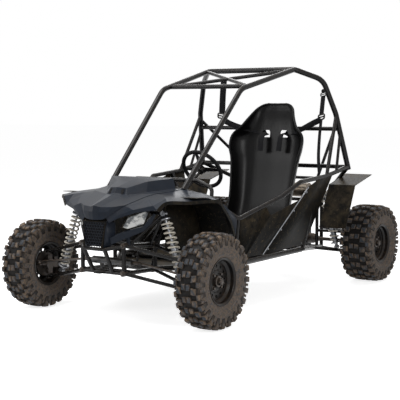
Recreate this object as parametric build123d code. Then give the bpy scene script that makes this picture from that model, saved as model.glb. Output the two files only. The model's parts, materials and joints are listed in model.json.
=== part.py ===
from build123d import *
import math
import os

# Light off-road buggy with a tube frame, one seat and the engine behind it.
# Millimetres. +Z is up, the front faces -Y and the buggy's left side is +X.
# The origin is on the ground, half-way between the axles.

# Driving sizes of the whole vehicle
wheelbase = 2120.0
front_track = 1310.0
rear_track = 1310.0
tyre_diameter = 560.0
front_tyre_width = 178.0
rear_tyre_width = 236.0
rim_diameter = 254.0
roof_height = 1533.0
floor_height = 290.0
cockpit_half_width = 450.0
rail_height = 800.0
seat_x = 110.0

# Tubes of the frame
hoop_tube = 38.0
main_tube = 35.0
side_tube = 30.0
nose_tube = 28.0
brace_tube = 25.0
strut_tube = 20.0
arm_tube = 22.0

# Thin parts and running gaps
panel_thickness = 4.0
sheet_thickness = 3.0
seat_gap = 0.3
pin_clearance = 0.3

# Wheels
wheel_sides = 24
lug_rows = 12
lug_height = 15.0
rim_wall = 4.0
rim_flange = 13.0
rim_flange_width = 5.0
disc_hole_count = 12
disc_hole_radius = 9.0
disc_hole_circle = 88.0
brake_disc_radius = 80.0

# Steering
kingpin_x = 590.0
kingpin_pin_radius = 7.0
ball_height_upper = 78.0
ball_height_lower = 82.0
steering_arm = 85.0
steering_wheel_diameter = 300.0
steering_wheel_rim = 26.0
rack_height = 352.0

# Where the dampers stand on the lower arms
front_damper_x = 468.0
rear_damper_x = 425.0

# Nose and tow eyes
nose_half_width = 78.0
bulkhead_half_width = 155.0
tow_eye_radius = 11.0
tow_eye_thickness = 8.0
tow_eye_reach = 38.0

# Grille
grille_depth = 12.0
grille_cell = 17.0

# Coil-over dampers
spring_wire = 9.0
spring_turns = 10
damper_radius = 20.0

axle_y = wheelbase / 2
axle_z = tyre_diameter / 2
front_axle = -axle_y
rear_axle = axle_y
rack_y = front_axle - steering_arm

parts = {}


def mirrored(shape):
    """The same shape on the other side of the vehicle."""
    return shape.mirror(Plane.YZ)


def both_sides(*shapes):
    solids = [solid for shape in shapes for solid in shape.solids()]
    return Compound(children=[*solids, *(mirrored(solid) for solid in solids)])


def largest(shape):
    return max(shape.solids(), key=lambda solid: solid.volume)


def rod(start, end, diameter):
    """A straight round bar between two points."""
    start, end = Vector(*start), Vector(*end)
    plane = Plane(origin=start, z_dir=end - start)
    return extrude(plane * Circle(diameter / 2), (end - start).length)


def bent_tube(points, diameter, radius):
    """A round tube through the points, with each corner bent to the radius."""
    points = [Vector(*p) for p in points]
    tube, start = None, points[0]
    for before, corner, after in zip(points, points[1:], points[2:]):
        back, ahead = (before - corner).normalized(), (after - corner).normalized()
        half = math.acos(back.dot(ahead)) / 2
        bend_start = corner + back * (radius / math.tan(half))
        centre = corner + (back + ahead).normalized() * (radius / math.sin(half))
        section = Plane(origin=bend_start, z_dir=-back) * Circle(diameter / 2)
        turn = Axis(centre, ahead.cross(back))
        bend = revolve(section, turn, 180 - 2 * math.degrees(half))
        straight = rod(start, bend_start, diameter)
        tube = straight + bend if tube is None else tube + straight + bend
        start = corner + ahead * (radius / math.tan(half))
    end = rod(start, points[-1], diameter)
    return end if tube is None else tube + end


def frame_of(*tubes):
    """Welds tubes into one piece."""
    whole = tubes[0]
    for tube in tubes[1:]:
        whole = whole + tube
    return whole


def cut_by(piece, *others):
    """Copes a piece where it runs into its neighbours on the same body."""
    for other in others:
        piece = piece - other
    return piece


def coped(tubes, *others):
    """Separate tubes, each one coped by its neighbours, without the offcuts."""
    return Compound(children=[largest(cut_by(tube, *others)) for tube in tubes])


def box_between(low, high):
    """A block from its lowest to its highest corner."""
    size = [high[i] - low[i] for i in range(3)]
    middle = [(high[i] + low[i]) / 2 for i in range(3)]
    return Pos(*middle) * Box(*size)


def facet(*points):
    return Face(Wire.make_polygon(points))


def flat_sided(faces):
    """A solid closed by flat faces."""
    return Solid(Shell(faces))


def panel(rows, thickness):
    """A moulded sheet under a net of points, in flat triangles.

    Each row has as many points as the next. The thickness goes to the side
    that sees the rows run clockwise."""
    net = [[Vector(*p) for p in row] for row in rows]
    length, width = len(net), len(net[0])
    places = [(i, j) for i in range(length) for j in range(width)]
    triangles = []
    for i in range(length - 1):
        for j in range(width - 1):
            corners = (i, j), (i, j + 1), (i + 1, j + 1), (i + 1, j)
            triangles += [corners[:3], (corners[0], corners[2], corners[3])]
    lean = {place: Vector(0, 0, 0) for place in places}
    for triangle in triangles:
        a, b, c = (net[i][j] for i, j in triangle)
        normal = (b - a).cross(c - a)
        for place in triangle:
            lean[place] = lean[place] + normal.normalized()
    outside = {(i, j): net[i][j] for i, j in places}
    inside = {place: outside[place] + lean[place].normalized() * thickness for place in places}
    faces = []
    for a, b, c in triangles:
        faces.append(facet(outside[a], outside[b], outside[c]))
        faces.append(facet(inside[a], inside[c], inside[b]))
    rim = [(0, j) for j in range(width)] + [(i, width - 1) for i in range(1, length)]
    rim += [(length - 1, j) for j in range(width - 2, -1, -1)] + [(i, 0) for i in range(length - 2, 0, -1)]
    for a, b in zip(rim, rim[1:] + rim[:1]):
        faces.append(facet(outside[a], outside[b], inside[b]))
        faces.append(facet(outside[a], inside[b], inside[a]))
    return flat_sided(faces)


def full_width(half):
    """A half line from the middle to the left side, repeated on the right."""
    return [(-x, y, z) for x, y, z in reversed(half) if x > 0] + list(half)


def turned(section, centre, sides=wheel_sides, ring=False):
    """A turned body along X with flat facets, from (x, radius) points of its section.

    A ring's section is a closed line. Any other runs from end face to end face."""
    swell = 1 / math.cos(math.pi / sides)
    rings = []
    for x, radius in section:
        corners = []
        for i in range(sides):
            angle = 2 * math.pi * (i + 0.5) / sides
            corners.append(Vector(x, centre[0] + radius * swell * math.cos(angle),
                                  centre[1] + radius * swell * math.sin(angle)))
        rings.append(corners)
    pairs = list(zip(rings, rings[1:]))
    faces = []
    if ring:
        pairs.append((rings[-1], rings[0]))
    else:
        faces = [facet(*rings[0]), facet(*rings[-1])]
    for one, two in pairs:
        for i in range(sides):
            k = (i + 1) % sides
            faces.append(facet(one[i], one[k], two[k], two[i]))
    return flat_sided(faces)


def strip_outline(points, thickness):
    """The closed outline of an open 2-D line given a thickness."""
    normals = []
    for (x0, y0), (x1, y1) in zip(points, points[1:]):
        length = math.hypot(x1 - x0, y1 - y0)
        normals.append(((y1 - y0) / length, -(x1 - x0) / length))
    inner = []
    for i, (x, y) in enumerate(points):
        before = normals[max(i - 1, 0)]
        after = normals[min(i, len(normals) - 1)]
        nx, ny = before[0] + after[0], before[1] + after[1]
        scale = 2 * thickness / (nx * nx + ny * ny)
        inner.append((x + nx * scale, y + ny * scale))
    return list(points) + inner[::-1]


def strip_across(points, thickness, x_low, x_high):
    """A bent sheet: a line of (y, z) points drawn out from x_low to x_high."""
    plane = Plane(origin=(x_low, 0, 0), x_dir=(0, 1, 0), z_dir=(1, 0, 0))
    outline = Polyline(*strip_outline(points, thickness), close=True)
    return extrude(plane * make_face(outline), x_high - x_low)


# Left side of the frame: name, and points (x, y, z)
pillar_foot = (286, -817, 769)
roof_corner = (313, -196, 1391)
rail_end = (359, 434, roof_height)
hoop_shoulder = (500, 590, 1462)
hoop_waist = (572, 650, 1225)
hoop_foot = (620, 752, 850)
side_rail = [
    pillar_foot,
    (372, -640, 700),
    (462, -470, 572),
    (552, -80, 690),
    (604, 80, 780),
    (612, 420, rail_height),
    hoop_foot,
]
harness_bar = (588, 680, 1120)
sill_front = (cockpit_half_width, -500, floor_height)
sill_rear = (cockpit_half_width, 400, floor_height)
tail_low = (190, 1190, 200)
tail_high = (190, 1190, 560)
tail_post_y = 985
tail_post_top = 745
engine_bars_y = (740, 930)
floor_bar_y = -60
bulkhead = {
    "low_front": (bulkhead_half_width, -1240, 300),
    "low_rear": (bulkhead_half_width, -930, floor_height),
    "high_front": (bulkhead_half_width, -1240, 465),
    "high_rear": (bulkhead_half_width, -930, 440),
}
nose_low = (nose_half_width - 5, bulkhead["low_front"][1], bulkhead["low_front"][2])
nose_high = (nose_half_width, -1322, 445)
damper_tower = (322, -1072, 650)
dash_hoop = [(372, -640, 700), (352, -602, 768), (240, -590, 812)]


def along_y(start, end, y):
    """The point at y on the straight line between two points."""
    share = (y - start[1]) / (end[1] - start[1])
    return tuple(start[i] + share * (end[i] - start[i]) for i in range(3))


def beyond(start, end, reach):
    """The point that lies past the end of a line by the reach."""
    way = (Vector(*end) - Vector(*start)).normalized()
    return tuple(Vector(*end) + way * reach)


def tail_rail(y):
    return along_y(sill_rear, tail_low, y)


def low_nose_rail(y):
    return along_y(bulkhead["low_front"], bulkhead["low_rear"], y)


def high_nose_rail(y):
    return along_y(bulkhead["high_front"], bulkhead["high_rear"], y)


def flip(point):
    return (-point[0], point[1], point[2])


def crossbar(point, diameter):
    """A bar from a point on the left side to the same one on the right."""
    return rod(flip(point), point, diameter)


def tow_eye(point, way):
    """A flat plate with a hole, which stands out from the cross tube at the point."""
    centre = point[1] + way * tow_eye_reach
    end = centre + way * 20
    half = tow_eye_thickness / 2
    plate = box_between((-22, min(point[1], end), point[2] - half), (22, max(point[1], end), point[2] + half))
    return plate - Pos(0, centre, point[2]) * Cylinder(tow_eye_radius, 40)


def make_floor_rails():
    rail = bent_tube([bulkhead["low_rear"], sill_front, sill_rear, tail_low], main_tube, 90)
    return both_sides(rail)


def make_nose_rails():
    low = rod(bulkhead["low_front"], bulkhead["low_rear"], nose_tube)
    high = rod(bulkhead["high_front"], bulkhead["high_rear"], nose_tube)
    return both_sides(low, high)


def make_nose_tubes():
    """The nose's two side loops, the struts to the pillars and the damper trestle."""
    loop = frame_of(
        rod(nose_low, beyond(nose_low, nose_high, 6), brace_tube),
        rod(nose_high, bulkhead["high_front"], brace_tube - 2),
    )
    strut = rod(bulkhead["high_rear"], pillar_foot, brace_tube)
    leg_front = rod(high_nose_rail(-1190), damper_tower, strut_tube)
    leg_rear = rod(high_nose_rail(-980), damper_tower, strut_tube)
    legs = frame_of(leg_front, leg_rear)
    trestle = frame_of(crossbar(beyond(flip(damper_tower), damper_tower, 8), brace_tube), legs, mirrored(legs))
    return both_sides(loop, strut), trestle


def make_crossbars():
    """Straight bars between the two sides, the bent one at the dash and both tow eyes."""
    dash_bar = dash_hoop + [flip(p) for p in reversed(dash_hoop)]
    return [
        crossbar(bulkhead["low_front"], brace_tube - 2) + tow_eye(nose_low, -1),
        crossbar(bulkhead["high_front"], brace_tube - 2),
        crossbar(nose_high, brace_tube - 3),
        crossbar(low_nose_rail(rack_y), brace_tube - 2),
        crossbar(bulkhead["high_rear"], brace_tube - 2),
        crossbar(bulkhead["low_rear"], brace_tube),
        crossbar(pillar_foot, brace_tube),
        bent_tube(dash_bar, brace_tube, 45),
        crossbar(sill_front, side_tube),
        crossbar((cockpit_half_width, floor_bar_y, floor_height), side_tube),
        crossbar(sill_rear, side_tube),
        crossbar(tail_rail(engine_bars_y[0]), side_tube),
        crossbar(tail_rail(engine_bars_y[1]), side_tube),
        crossbar(tail_low, side_tube) + tow_eye(tail_low, 1),
        crossbar(tail_high, side_tube - 3),
        crossbar(tail_post_head, brace_tube - 2),
        crossbar(hoop_foot, side_tube),
        crossbar(harness_bar, side_tube),
    ]


def make_roof_rails():
    left = bent_tube([pillar_foot, roof_corner, rail_end], main_tube, 150)
    return both_sides(left)


def make_roof_brace():
    front = (313, -105, 1409)
    return frame_of(
        crossbar(front, side_tube),
        rod(front, (-340, 400, 1525), brace_tube),
        rod(flip(front), (340, 400, 1525), brace_tube),
    )


def make_main_hoop():
    left = [beyond(hoop_waist, hoop_foot, hoop_tube / 2), hoop_waist, hoop_shoulder, rail_end]
    return bent_tube(left + [flip(p) for p in reversed(left)], hoop_tube, 55)


def make_side_rails():
    return both_sides(bent_tube(side_rail, side_tube, 60))


def make_braces():
    """Short straight tubes at the bulkhead, the cockpit sides and the hoop."""
    left = [
        rod(bulkhead["low_front"], bulkhead["high_front"], brace_tube),
        rod(bulkhead["low_rear"], bulkhead["high_rear"], brace_tube),
        rod(side_rail[2], sill_front, brace_tube),
        rod((610, 330, rail_height - 5), sill_rear, brace_tube),
        rod((572, 655, 1215), (612, 440, rail_height), brace_tube),
        rod((588, 690, 1100), (615, 580, 822), strut_tube),
    ]
    return [*left, *(mirrored(tube) for tube in left)]


tail_post_foot = tail_rail(tail_post_y)
tail_post_head = (tail_post_foot[0], tail_post_y, tail_post_top)


def make_rear_frame():
    left = frame_of(
        rod(hoop_foot, beyond(hoop_foot, tail_high, 8), side_tube),
        rod(tail_low, tail_high, side_tube - 2),
        rod(tail_post_foot, beyond(tail_post_foot, tail_post_head, 6), brace_tube),
        rod((580, 665, 1180), tail_post_head, brace_tube - 2),
        rod(tail_post_head, tail_high, brace_tube - 4),
    )
    return both_sides(left)


def make_floor_pan():
    top = floor_height - main_tube / 2 - seat_gap
    outline = [(130, -900), (cockpit_half_width, -500), (cockpit_half_width, 400)]
    points = outline + [(-x, y) for x, y in reversed(outline)]
    plane = Plane(origin=(0, 0, top - sheet_thickness))
    return extrude(plane * make_face(Polyline(*points, close=True)), sheet_thickness)


# Side panel: points (x, y, z) low, at the crease and high, from front to rear
side_panel_rows = [
    [(464, -470, 296), (468, -468, 420), (471, -462, 566)],
    [(464, -300, 296), (500, -290, 450), (526, -235, 635)],
    [(464, -80, 296), (528, -60, 500), (562, -80, 682)],
    [(464, 60, 296), (548, 80, 540), (614, 80, 772)],
    [(464, 250, 296), (560, 280, 560), (619, 300, 785)],
    [(464, 396, 296), (560, 440, 560), (624, 500, 804)],
]


def make_side_panels():
    return both_sides(panel(side_panel_rows, -panel_thickness))


# Hood, left half: points (x, y, z) from the middle to the seam, from nose to dash
hood_rows = [
    [(0, -1330, 604), (30, -1328, 606), (60, -1318, 612), (84, -1306, 624)],
    [(0, -1334, 662), (40, -1329, 664), (90, -1304, 668), (124, -1270, 668)],
    [(0, -1322, 694), (45, -1316, 697), (110, -1284, 703), (168, -1238, 700)],
    [(0, -1095, 752), (14, -1094, 753), (90, -1140, 746), (205, -1085, 742)],
    [(0, -1082, 790), (28, -1078, 790), (80, -1010, 782), (232, -1030, 758)],
    [(0, -935, 822), (96, -930, 822), (112, -970, 788), (258, -950, 764)],
    [(0, -850, 838), (236, -852, 838), (252, -852, 776), (290, -830, 774)],
]


def make_hood():
    return panel([full_width(row) for row in hood_rows], panel_thickness)


# Front fender: points (x, y, z) from the hood's seam or the side rail to the arch,
# from nose to cockpit. Beside the hood the first point lies under its edge.
seam_lap = 7.0
fender_rows = [
    [(90, -1306, 613), (94, -1306, 606), (98, -1304, 600)],
    [(136, -1276, 654), (142, -1284, 640), (146, -1288, 626)],
    [(196, -1238, 688), (222, -1238, 676), (232, -1232, 660)],
    [(262, -1130, 724), (318, -1170, 700), (344, -1170, 676)],
    [(300, -1040, 742), (372, -1100, 722), (412, -1122, 700)],
    [(350, -960, 750), (440, -1020, 742), (512, -1060, 730)],
    [(390, -800, 748), (470, -800, 734), (528, -820, 716)],
    [(360, -690, 738), (430, -690, 716), (486, -720, 690), (532, -742, 660)],
    [(430, -590, 668), (468, -600, 640), (502, -632, 610), (534, -668, 576)],
    [(468, -530, 600), (494, -540, 572), (516, -580, 530), (534, -622, 486)],
]
for hood_row, row in zip(hood_rows, fender_rows):
    seam_x, seam_y, seam_z = hood_row[-1]
    row.insert(0, (seam_x - seam_lap, seam_y, seam_z - panel_thickness / 2))


def make_front_fenders():
    return both_sides(panel(fender_rows, panel_thickness))


def make_wheel_liners():
    """The inner arch behind each front wheel."""
    line = [(-990, 738), (-820, 730), (-690, 640), (-640, 500), (-640, 330)]
    arch = strip_across(line, sheet_thickness, 300, 505)
    return both_sides(arch)


def make_grille():
    bottom, top = Vector(0, -1334, 452), Vector(0, -1316, 606)
    height = (top - bottom).length
    plane = Plane(origin=(bottom + top) / 2, x_dir=(1, 0, 0),
                  z_dir=(top - bottom).cross(Vector(1, 0, 0)))
    outline = Polyline((-64, -height / 2), (64, -height / 2), (80, height / 2),
                       (-80, height / 2), close=True)
    plate = extrude(make_face(outline), grille_depth)
    cells = HexLocations(grille_cell / 2, 7, 8, major_radius=False)
    hole = extrude(RegularPolygon(grille_cell / 2 - 1.6, 6, major_radius=False), grille_depth)
    return plane * (plate - [place * hole for place in cells])


# Headlamp: a slanted lens on the outline (x, z), seen from the front, and its depth
lamp_plane = Plane(origin=(205, -1188, 612), x_dir=(0.72, 0.69, 0.0), z_dir=(0.69, -0.72, 0))
lamp_outline = [(-88, -44), (-52, 22), (62, 60), (84, 50), (52, -26), (-58, -56)]
blade_outline = [(-150, -100), (-104, -76), (40, -38), (106, 38), (118, 30), (96, -14), (44, -66), (-148, -140)]


def make_headlamps():
    lamp = extrude(lamp_plane * make_face(Polyline(*lamp_outline, close=True)), -60)
    return both_sides(lamp)


def make_lamp_blades():
    """The dark moulding under each lamp, with its stay to the nose."""
    blade = extrude(lamp_plane * make_face(Polyline(*blade_outline, close=True)), -34)
    x, y, z = high_nose_rail(-1205)
    stay = box_between((x, y - 10, z), (x + 14, y + 10, z + 105))
    return both_sides(blade + stay)


def make_rear_mudguards():
    line = [(545, 430), (690, 722), (960, 785)]
    return both_sides(strip_across(line, -panel_thickness, 505, 710))


# Seat shell, from the headrest to the front of the cushion: spine point (y, z),
# lean of the section, half width of the flat back, half width and depth of the wing
seat_stations = [
    (640, 1292, 12, 88, 118, 16),
    (632, 1250, 12, 112, 160, 40),
    (618, 1180, 12, 128, 186, 78),
    (606, 1110, 14, 150, 225, 105),
    (596, 1040, 14, 182, 288, 122),
    (578, 950, 14, 186, 292, 132),
    (560, 860, 14, 180, 268, 128),
    (505, 640, 18, 176, 246, 124),
    (472, 530, 28, 176, 244, 128),
    (430, 452, 48, 178, 244, 132),
    (330, 392, 78, 180, 242, 134),
    (190, 384, 90, 180, 240, 126),
    (66, 400, 98, 178, 232, 104),
    (40, 396, 120, 174, 222, 70),
]
seat_shell = 6.0
belt_slot_height = 1085
belt_slot_x = 74
belt_width = 50
belt_thickness = 3.0


def seat_row(station):
    """The points of one station, from the right wing's edge to the left one's."""
    y, z, lean, back, wing, depth = station
    angle = math.radians(lean)
    forward, up = -math.cos(angle), math.sin(angle)
    half = [(back * 0.5, 0), (back, 0.03 * depth), (back + (wing - back) * 0.7, depth * 0.42), (wing, depth)]
    line = [(-x, d) for x, d in reversed(half)] + half
    return [(seat_x + x, y + d * forward, z + d * up) for x, d in line]


def seat_spine_y(z):
    """Where the front of the seat's back is at a height."""
    for low, high in zip(seat_stations[1:], seat_stations):
        if low[1] <= z <= high[1]:
            return low[0] + (z - low[1]) / (high[1] - low[1]) * (high[0] - low[0])
    return seat_stations[0][0]


def make_seat():
    shell = panel([seat_row(station) for station in seat_stations], seat_shell)
    for x in (seat_x - belt_slot_x, seat_x + belt_slot_x):
        shell = shell - Pos(x, seat_spine_y(belt_slot_height), belt_slot_height) * Box(belt_width + 12, 60, 26)
    return shell


def belt(points, across):
    """A flat belt through the points, in straight lengths that lap each other."""
    across, lap = Vector(*across).normalized(), 1.0
    lengths = []
    for start, end in zip(points, points[1:]):
        start, end = Vector(*start), Vector(*end)
        way = (end - start).normalized()
        plane = Plane(origin=start - way * lap, x_dir=across - way * across.dot(way), z_dir=way)
        section = Rectangle(belt_width, belt_thickness)
        lengths.append(extrude(plane * section, (end - start).length + 2 * lap))
    return frame_of(*lengths)


def make_harness():
    """Lap belt with its buckle, and the two shoulder belts that hang from the hoop."""
    lift = belt_thickness + seat_gap
    slot_left = (seat_x + belt_slot_x, seat_spine_y(belt_slot_height) - 16, belt_slot_height)
    slot_right = (seat_x - belt_slot_x, slot_left[1], belt_slot_height)
    left = belt([(500, 590, 1385), (502, 566, 1200), (420, 560, 1160), slot_left,
                 (slot_left[0], slot_left[1] + 40, slot_left[2])], (1, -0.35, 0.2))
    right = belt([(-262, 500, 1478), (-268, 480, 1200), (-150, 530, 1130), slot_right,
                  (slot_right[0], slot_right[1] + 40, slot_right[2])], (1, 0.35, -0.2))
    (y0, z0), (y1, z1) = seat_stations[9][:2], seat_stations[10][:2]
    base = Plane(origin=(seat_x, (y0 + y1) / 2, (z0 + z1) / 2), x_dir=(1, 0, 0), z_dir=(0, y1 - y0, z1 - z0))
    outline = strip_outline([(-172, lift + 4), (-90, lift), (90, lift), (172, lift + 4)], belt_thickness)
    lap = extrude(base * make_face(Polyline(*outline, close=True)), belt_width / 2, both=True)
    buckle = base * Pos(0, lift + 6, 0) * Rot(90, 0, 0) * Cylinder(32, 15)
    return left, right, frame_of(lap, buckle)


def make_seat_mounts(seat):
    """Two side plates that carry the seat on the floor's cross tubes."""
    low = floor_height - main_tube / 2
    side = [(floor_bar_y - 12, low), (412, low), (412, 420), (90, 420), (floor_bar_y - 12, low + 60)]
    plates = []
    for x in (seat_x - 156, seat_x + 150):
        plane = Plane(origin=(x, 0, 0), x_dir=(0, 1, 0), z_dir=(1, 0, 0))
        plate = extrude(plane * make_face(Polyline(*side, close=True)), 6)
        for y in (70, 170, 270):
            plate = plate - box_between((x - 5, y, low + 28), (x + 11, y + 70, low + 78))
        plates.append(largest(plate - seat))
    return plates


def make_dash():
    """A bent sheet that hangs over the cross tube under the hood's rear edge."""
    top = pillar_foot[2] + brace_tube / 2 + seat_gap
    y = pillar_foot[1]
    line = [(y - 10, top + 20), (y - 9, top), (y + 30, top), (y + 60, top - 90)]
    return strip_across(line, -sheet_thickness, -232, 232)


pedal_places = (5, 125)


def make_pedals():
    foot_y, foot_z = bulkhead["low_rear"][1:]
    pieces = []
    for x in pedal_places:
        arm = rod((x, foot_y, foot_z), (x, foot_y + 60, foot_z + 170), 14)
        pad = Pos(x, foot_y + 62, foot_z + 185) * Rot(-22, 0, 0) * Box(56, 8, 90)
        pieces.append(frame_of(arm, pad))
    return Compound(children=pieces)


wheel_centre = Vector(seat_x, -350, 868)
pinion_point = Vector(seat_x, rack_y + 38, rack_height + 22)
column_axis = (wheel_centre - pinion_point).normalized()
column_bush = wheel_centre - column_axis * 545


def make_steering_wheel():
    plane = Plane(origin=wheel_centre, x_dir=(1, 0, 0), z_dir=column_axis)
    ring_radius = (steering_wheel_diameter - steering_wheel_rim) / 2
    section = []
    for i in range(8):
        angle = 2 * math.pi * i / 8
        section.append((steering_wheel_rim / 2 * math.sin(angle),
                        ring_radius + steering_wheel_rim / 2 * math.cos(angle)))
    ring = plane * Rot(0, -90, 0) * turned(section, (0, 0), 28, ring=True)
    hub = plane * Cylinder(30, 20)
    spokes = [plane * Rot(0, 0, a) * Pos(ring_radius / 2, 0, 0) * Box(ring_radius, 26, 5) for a in (0, 180, 270)]
    shaft = rod(pinion_point + column_axis * 20, wheel_centre, 18)
    return frame_of(shaft, hub, *spokes, ring)


def make_column_bracket():
    """The bush that holds the column, hung from the cross tube at the pillars."""
    plane = Plane(origin=column_bush, x_dir=(1, 0, 0), z_dir=column_axis)
    bush = plane * Cylinder(17, 70)
    hangers = [rod((seat_x + side, pillar_foot[1], pillar_foot[2]), column_bush, 16) for side in (-55, 55)]
    return frame_of(bush, *hangers) - plane * Cylinder(9 + pin_clearance, 120)


def make_rack_housing():
    half = 150
    tube = rod((-half, rack_y, rack_height), (half, rack_y, rack_height), 44)
    foot_z = low_nose_rail(rack_y)[2]
    feet = [box_between((x - 10, rack_y - 10, foot_z), (x + 10, rack_y + 10, rack_height)) for x in (-85, 85)]
    return frame_of(tube, *feet) - rod((-half - 9, rack_y, rack_height), (half + 9, rack_y, rack_height),
                                       24 + 2 * pin_clearance)


def make_rack():
    """The rack bar with both tie rods and their ends."""
    end = (kingpin_x, rack_y, axle_z + 20)
    bar = rod((-215, rack_y, rack_height), (215, rack_y, rack_height), 24)
    tie = rod((210, rack_y, rack_height), end, 14)
    eye = Pos(*end) * Cylinder(13, 16)
    return frame_of(bar, tie, mirrored(tie), eye, mirrored(eye))


def front_ball(side_z):
    return (kingpin_x, front_axle, axle_z + side_z)


def leg_point(outer, inner, x):
    """The point at x on a leg of an arm."""
    share = (outer[0] - x) / (outer[0] - inner[0])
    return tuple(outer[i] + share * (inner[i] - outer[i]) for i in range(3))


def make_wishbone(outer, front, rear, boss_height=16):
    """Two legs from the body to a boss that holds the kingpin."""
    boss = Pos(*outer) * Cylinder(17, boss_height)
    legs = frame_of(boss, rod(outer, front, arm_tube), rod(outer, rear, arm_tube))
    return legs - Pos(*outer) * Cylinder(kingpin_pin_radius + pin_clearance, 60)


front_arm_mounts = {
    "upper_front": (bulkhead_half_width, -1236, 465),
    "upper_rear": (bulkhead_half_width, -945, 441),
    "lower_front": (bulkhead_half_width, -1236, 300),
    "lower_rear": (bulkhead_half_width, -945, 290),
}


def make_front_arms():
    high_ball, low_ball = front_ball(ball_height_upper), front_ball(-ball_height_lower)
    upper = make_wishbone(high_ball, front_arm_mounts["upper_front"], front_arm_mounts["upper_rear"])
    lower = make_wishbone(low_ball, front_arm_mounts["lower_front"], front_arm_mounts["lower_rear"])
    cross = [leg_point(low_ball, front_arm_mounts[k], front_damper_x) for k in ("lower_front", "lower_rear")]
    return upper, lower + rod(*cross, arm_tube - 2)


# Coil-over dampers: lower eye, upper eye
damper_places = {
    "front": ((front_damper_x, -1072, 250), (damper_tower[0], damper_tower[1], damper_tower[2])),
    "rear": ((rear_damper_x, 985, 240), (290, tail_post_y - 25, tail_post_top)),
}


def damper_axis(key):
    low, high = (Vector(*point) for point in damper_places[key])
    return low, high, (high - low).normalized()


def make_dampers():
    """Each damper's turned body along its axis, with an eye at either end."""
    solids = []
    for key in damper_places:
        low, high, axis = damper_axis(key)
        length = (high - low).length
        along = Plane(origin=low, x_dir=(0, 1, 0), z_dir=axis)
        section = [(8, 9), (28, 9), (28, 34), (40, 34), (40, damper_radius), (length * 0.52, damper_radius),
                   (length * 0.52, 8), (length - 60, 8), (length - 60, 32), (length - 24, 32), (length - 8, 12)]
        body = along * Rot(0, -90, 0) * turned(section, (0, 0), 12)
        reach = Vector(0, 16, 0)
        body = frame_of(body, rod(low - reach, low + reach, 26), rod(high - reach, high + reach, 26))
        solids.append(body)
    return solids


def make_springs():
    coils = []
    steps = 8
    for key in damper_places:
        low, high, axis = damper_axis(key)
        start = low + axis * (40 + spring_wire / 2 + seat_gap)
        end = high - axis * (60 + spring_wire / 2 + seat_gap)
        radius = damper_radius + spring_wire / 2 + 6
        plane = Plane(origin=start, z_dir=axis)
        height = (end - start).length
        points = []
        for i in range(spring_turns * steps + 1):
            angle = 2 * math.pi * i / steps
            rise = height * i / (spring_turns * steps)
            points.append(plane.from_local_coords(Vector(radius * math.cos(angle),
                                                         radius * math.sin(angle), rise)))
        path = Polyline(*points)
        section = Plane(origin=path @ 0, z_dir=path % 0) * RegularPolygon(spring_wire / 2, 4)
        coils.append(sweep(section, path=path, transition=Transition.RIGHT))
    return coils


def make_knuckle():
    """The left front upright with its pins, steering arm and caliper."""
    top = axle_z + ball_height_upper
    bottom = axle_z - ball_height_lower
    post = box_between((kingpin_x - 13, front_axle - 20, bottom + 20),
                       (kingpin_x + 10, front_axle + 20, top - 20))
    pins = rod((kingpin_x, front_axle, bottom - 12), (kingpin_x, front_axle, top + 12),
               2 * kingpin_pin_radius)
    bearing = rod((kingpin_x - 16, front_axle, axle_z), (kingpin_x + 22, front_axle, axle_z), 68)
    bore = rod((kingpin_x - 2, front_axle, axle_z), (kingpin_x + 30, front_axle, axle_z),
               36 + 2 * pin_clearance)
    arm_y = front_axle - steering_arm
    arm = box_between((kingpin_x - 12, arm_y - 12, axle_z - 2), (kingpin_x + 12, front_axle - 15, axle_z + 7))
    caliper = box_between((kingpin_x + 8, front_axle + 60, axle_z - 34),
                          (kingpin_x + 46, front_axle + 94, axle_z + 34))
    slot = box_between((kingpin_x + 24, front_axle + 30, axle_z - 60),
                       (kingpin_x + 36, front_axle + 88, axle_z + 60))
    bracket = box_between((kingpin_x - 10, front_axle + 15, axle_z - 20),
                          (kingpin_x + 10, front_axle + 70, axle_z + 20))
    return frame_of(post, pins, bearing, arm, caliper - slot, bracket) - bore


def wheel_disc_x(track):
    """The outer face of the hub, where the wheel's disc sits."""
    return track / 2 - 6


def make_front_hub():
    """The turning hub, its wheel flange and the brake disc."""
    face = wheel_disc_x(front_track)
    disc_x = kingpin_x + 30
    section = [(kingpin_x + 1, 18), (disc_x - 2, 18), (disc_x - 2, brake_disc_radius),
               (disc_x + 2, brake_disc_radius), (disc_x + 2, 36), (face - 9, 36), (face - 8, 52),
               (face, 52), (face, 30), (face + 30, 26), (face + 34, 18)]
    return turned(section, (front_axle, axle_z))


def rim_half(width):
    return width * 0.42


def make_rim(track, width, axle):
    """A deep-dished pressed steel rim with a ring of round holes in its disc."""
    half = rim_half(width)
    seat = rim_diameter / 2
    flange = seat + rim_flange
    lip = half - rim_flange_width
    face = wheel_disc_x(track) - track / 2
    well = seat - 12
    section = [
        (-half, flange), (-lip, flange), (-lip + 4, seat), (-lip + 26, seat), (-lip + 34, well),
        (lip - 34, well), (lip - 26, seat), (lip - 4, seat), (lip, flange), (half, flange),
        (half, flange - rim_wall), (lip, seat - rim_wall), (lip - 26, seat - rim_wall),
        (lip - 34, well - rim_wall), (face + 6, well - rim_wall), (face + 6, 31), (face, 31),
        (face, well - rim_wall), (-lip + 34, well - rim_wall), (-lip + 26, seat - rim_wall),
        (-lip, seat - rim_wall), (-half, flange - rim_wall),
    ]
    middle = track / 2
    rim = turned([(middle + x, radius) for x, radius in section], (axle, axle_z), ring=True)
    for i in range(disc_hole_count):
        angle = 2 * math.pi * (i + 0.5) / disc_hole_count
        place = (axle + disc_hole_circle * math.cos(angle), axle_z + disc_hole_circle * math.sin(angle))
        edge = middle + face
        rim = rim - turned([(edge - 5, disc_hole_radius), (edge + 15, disc_hole_radius)], place, 6)
    return rim


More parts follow.
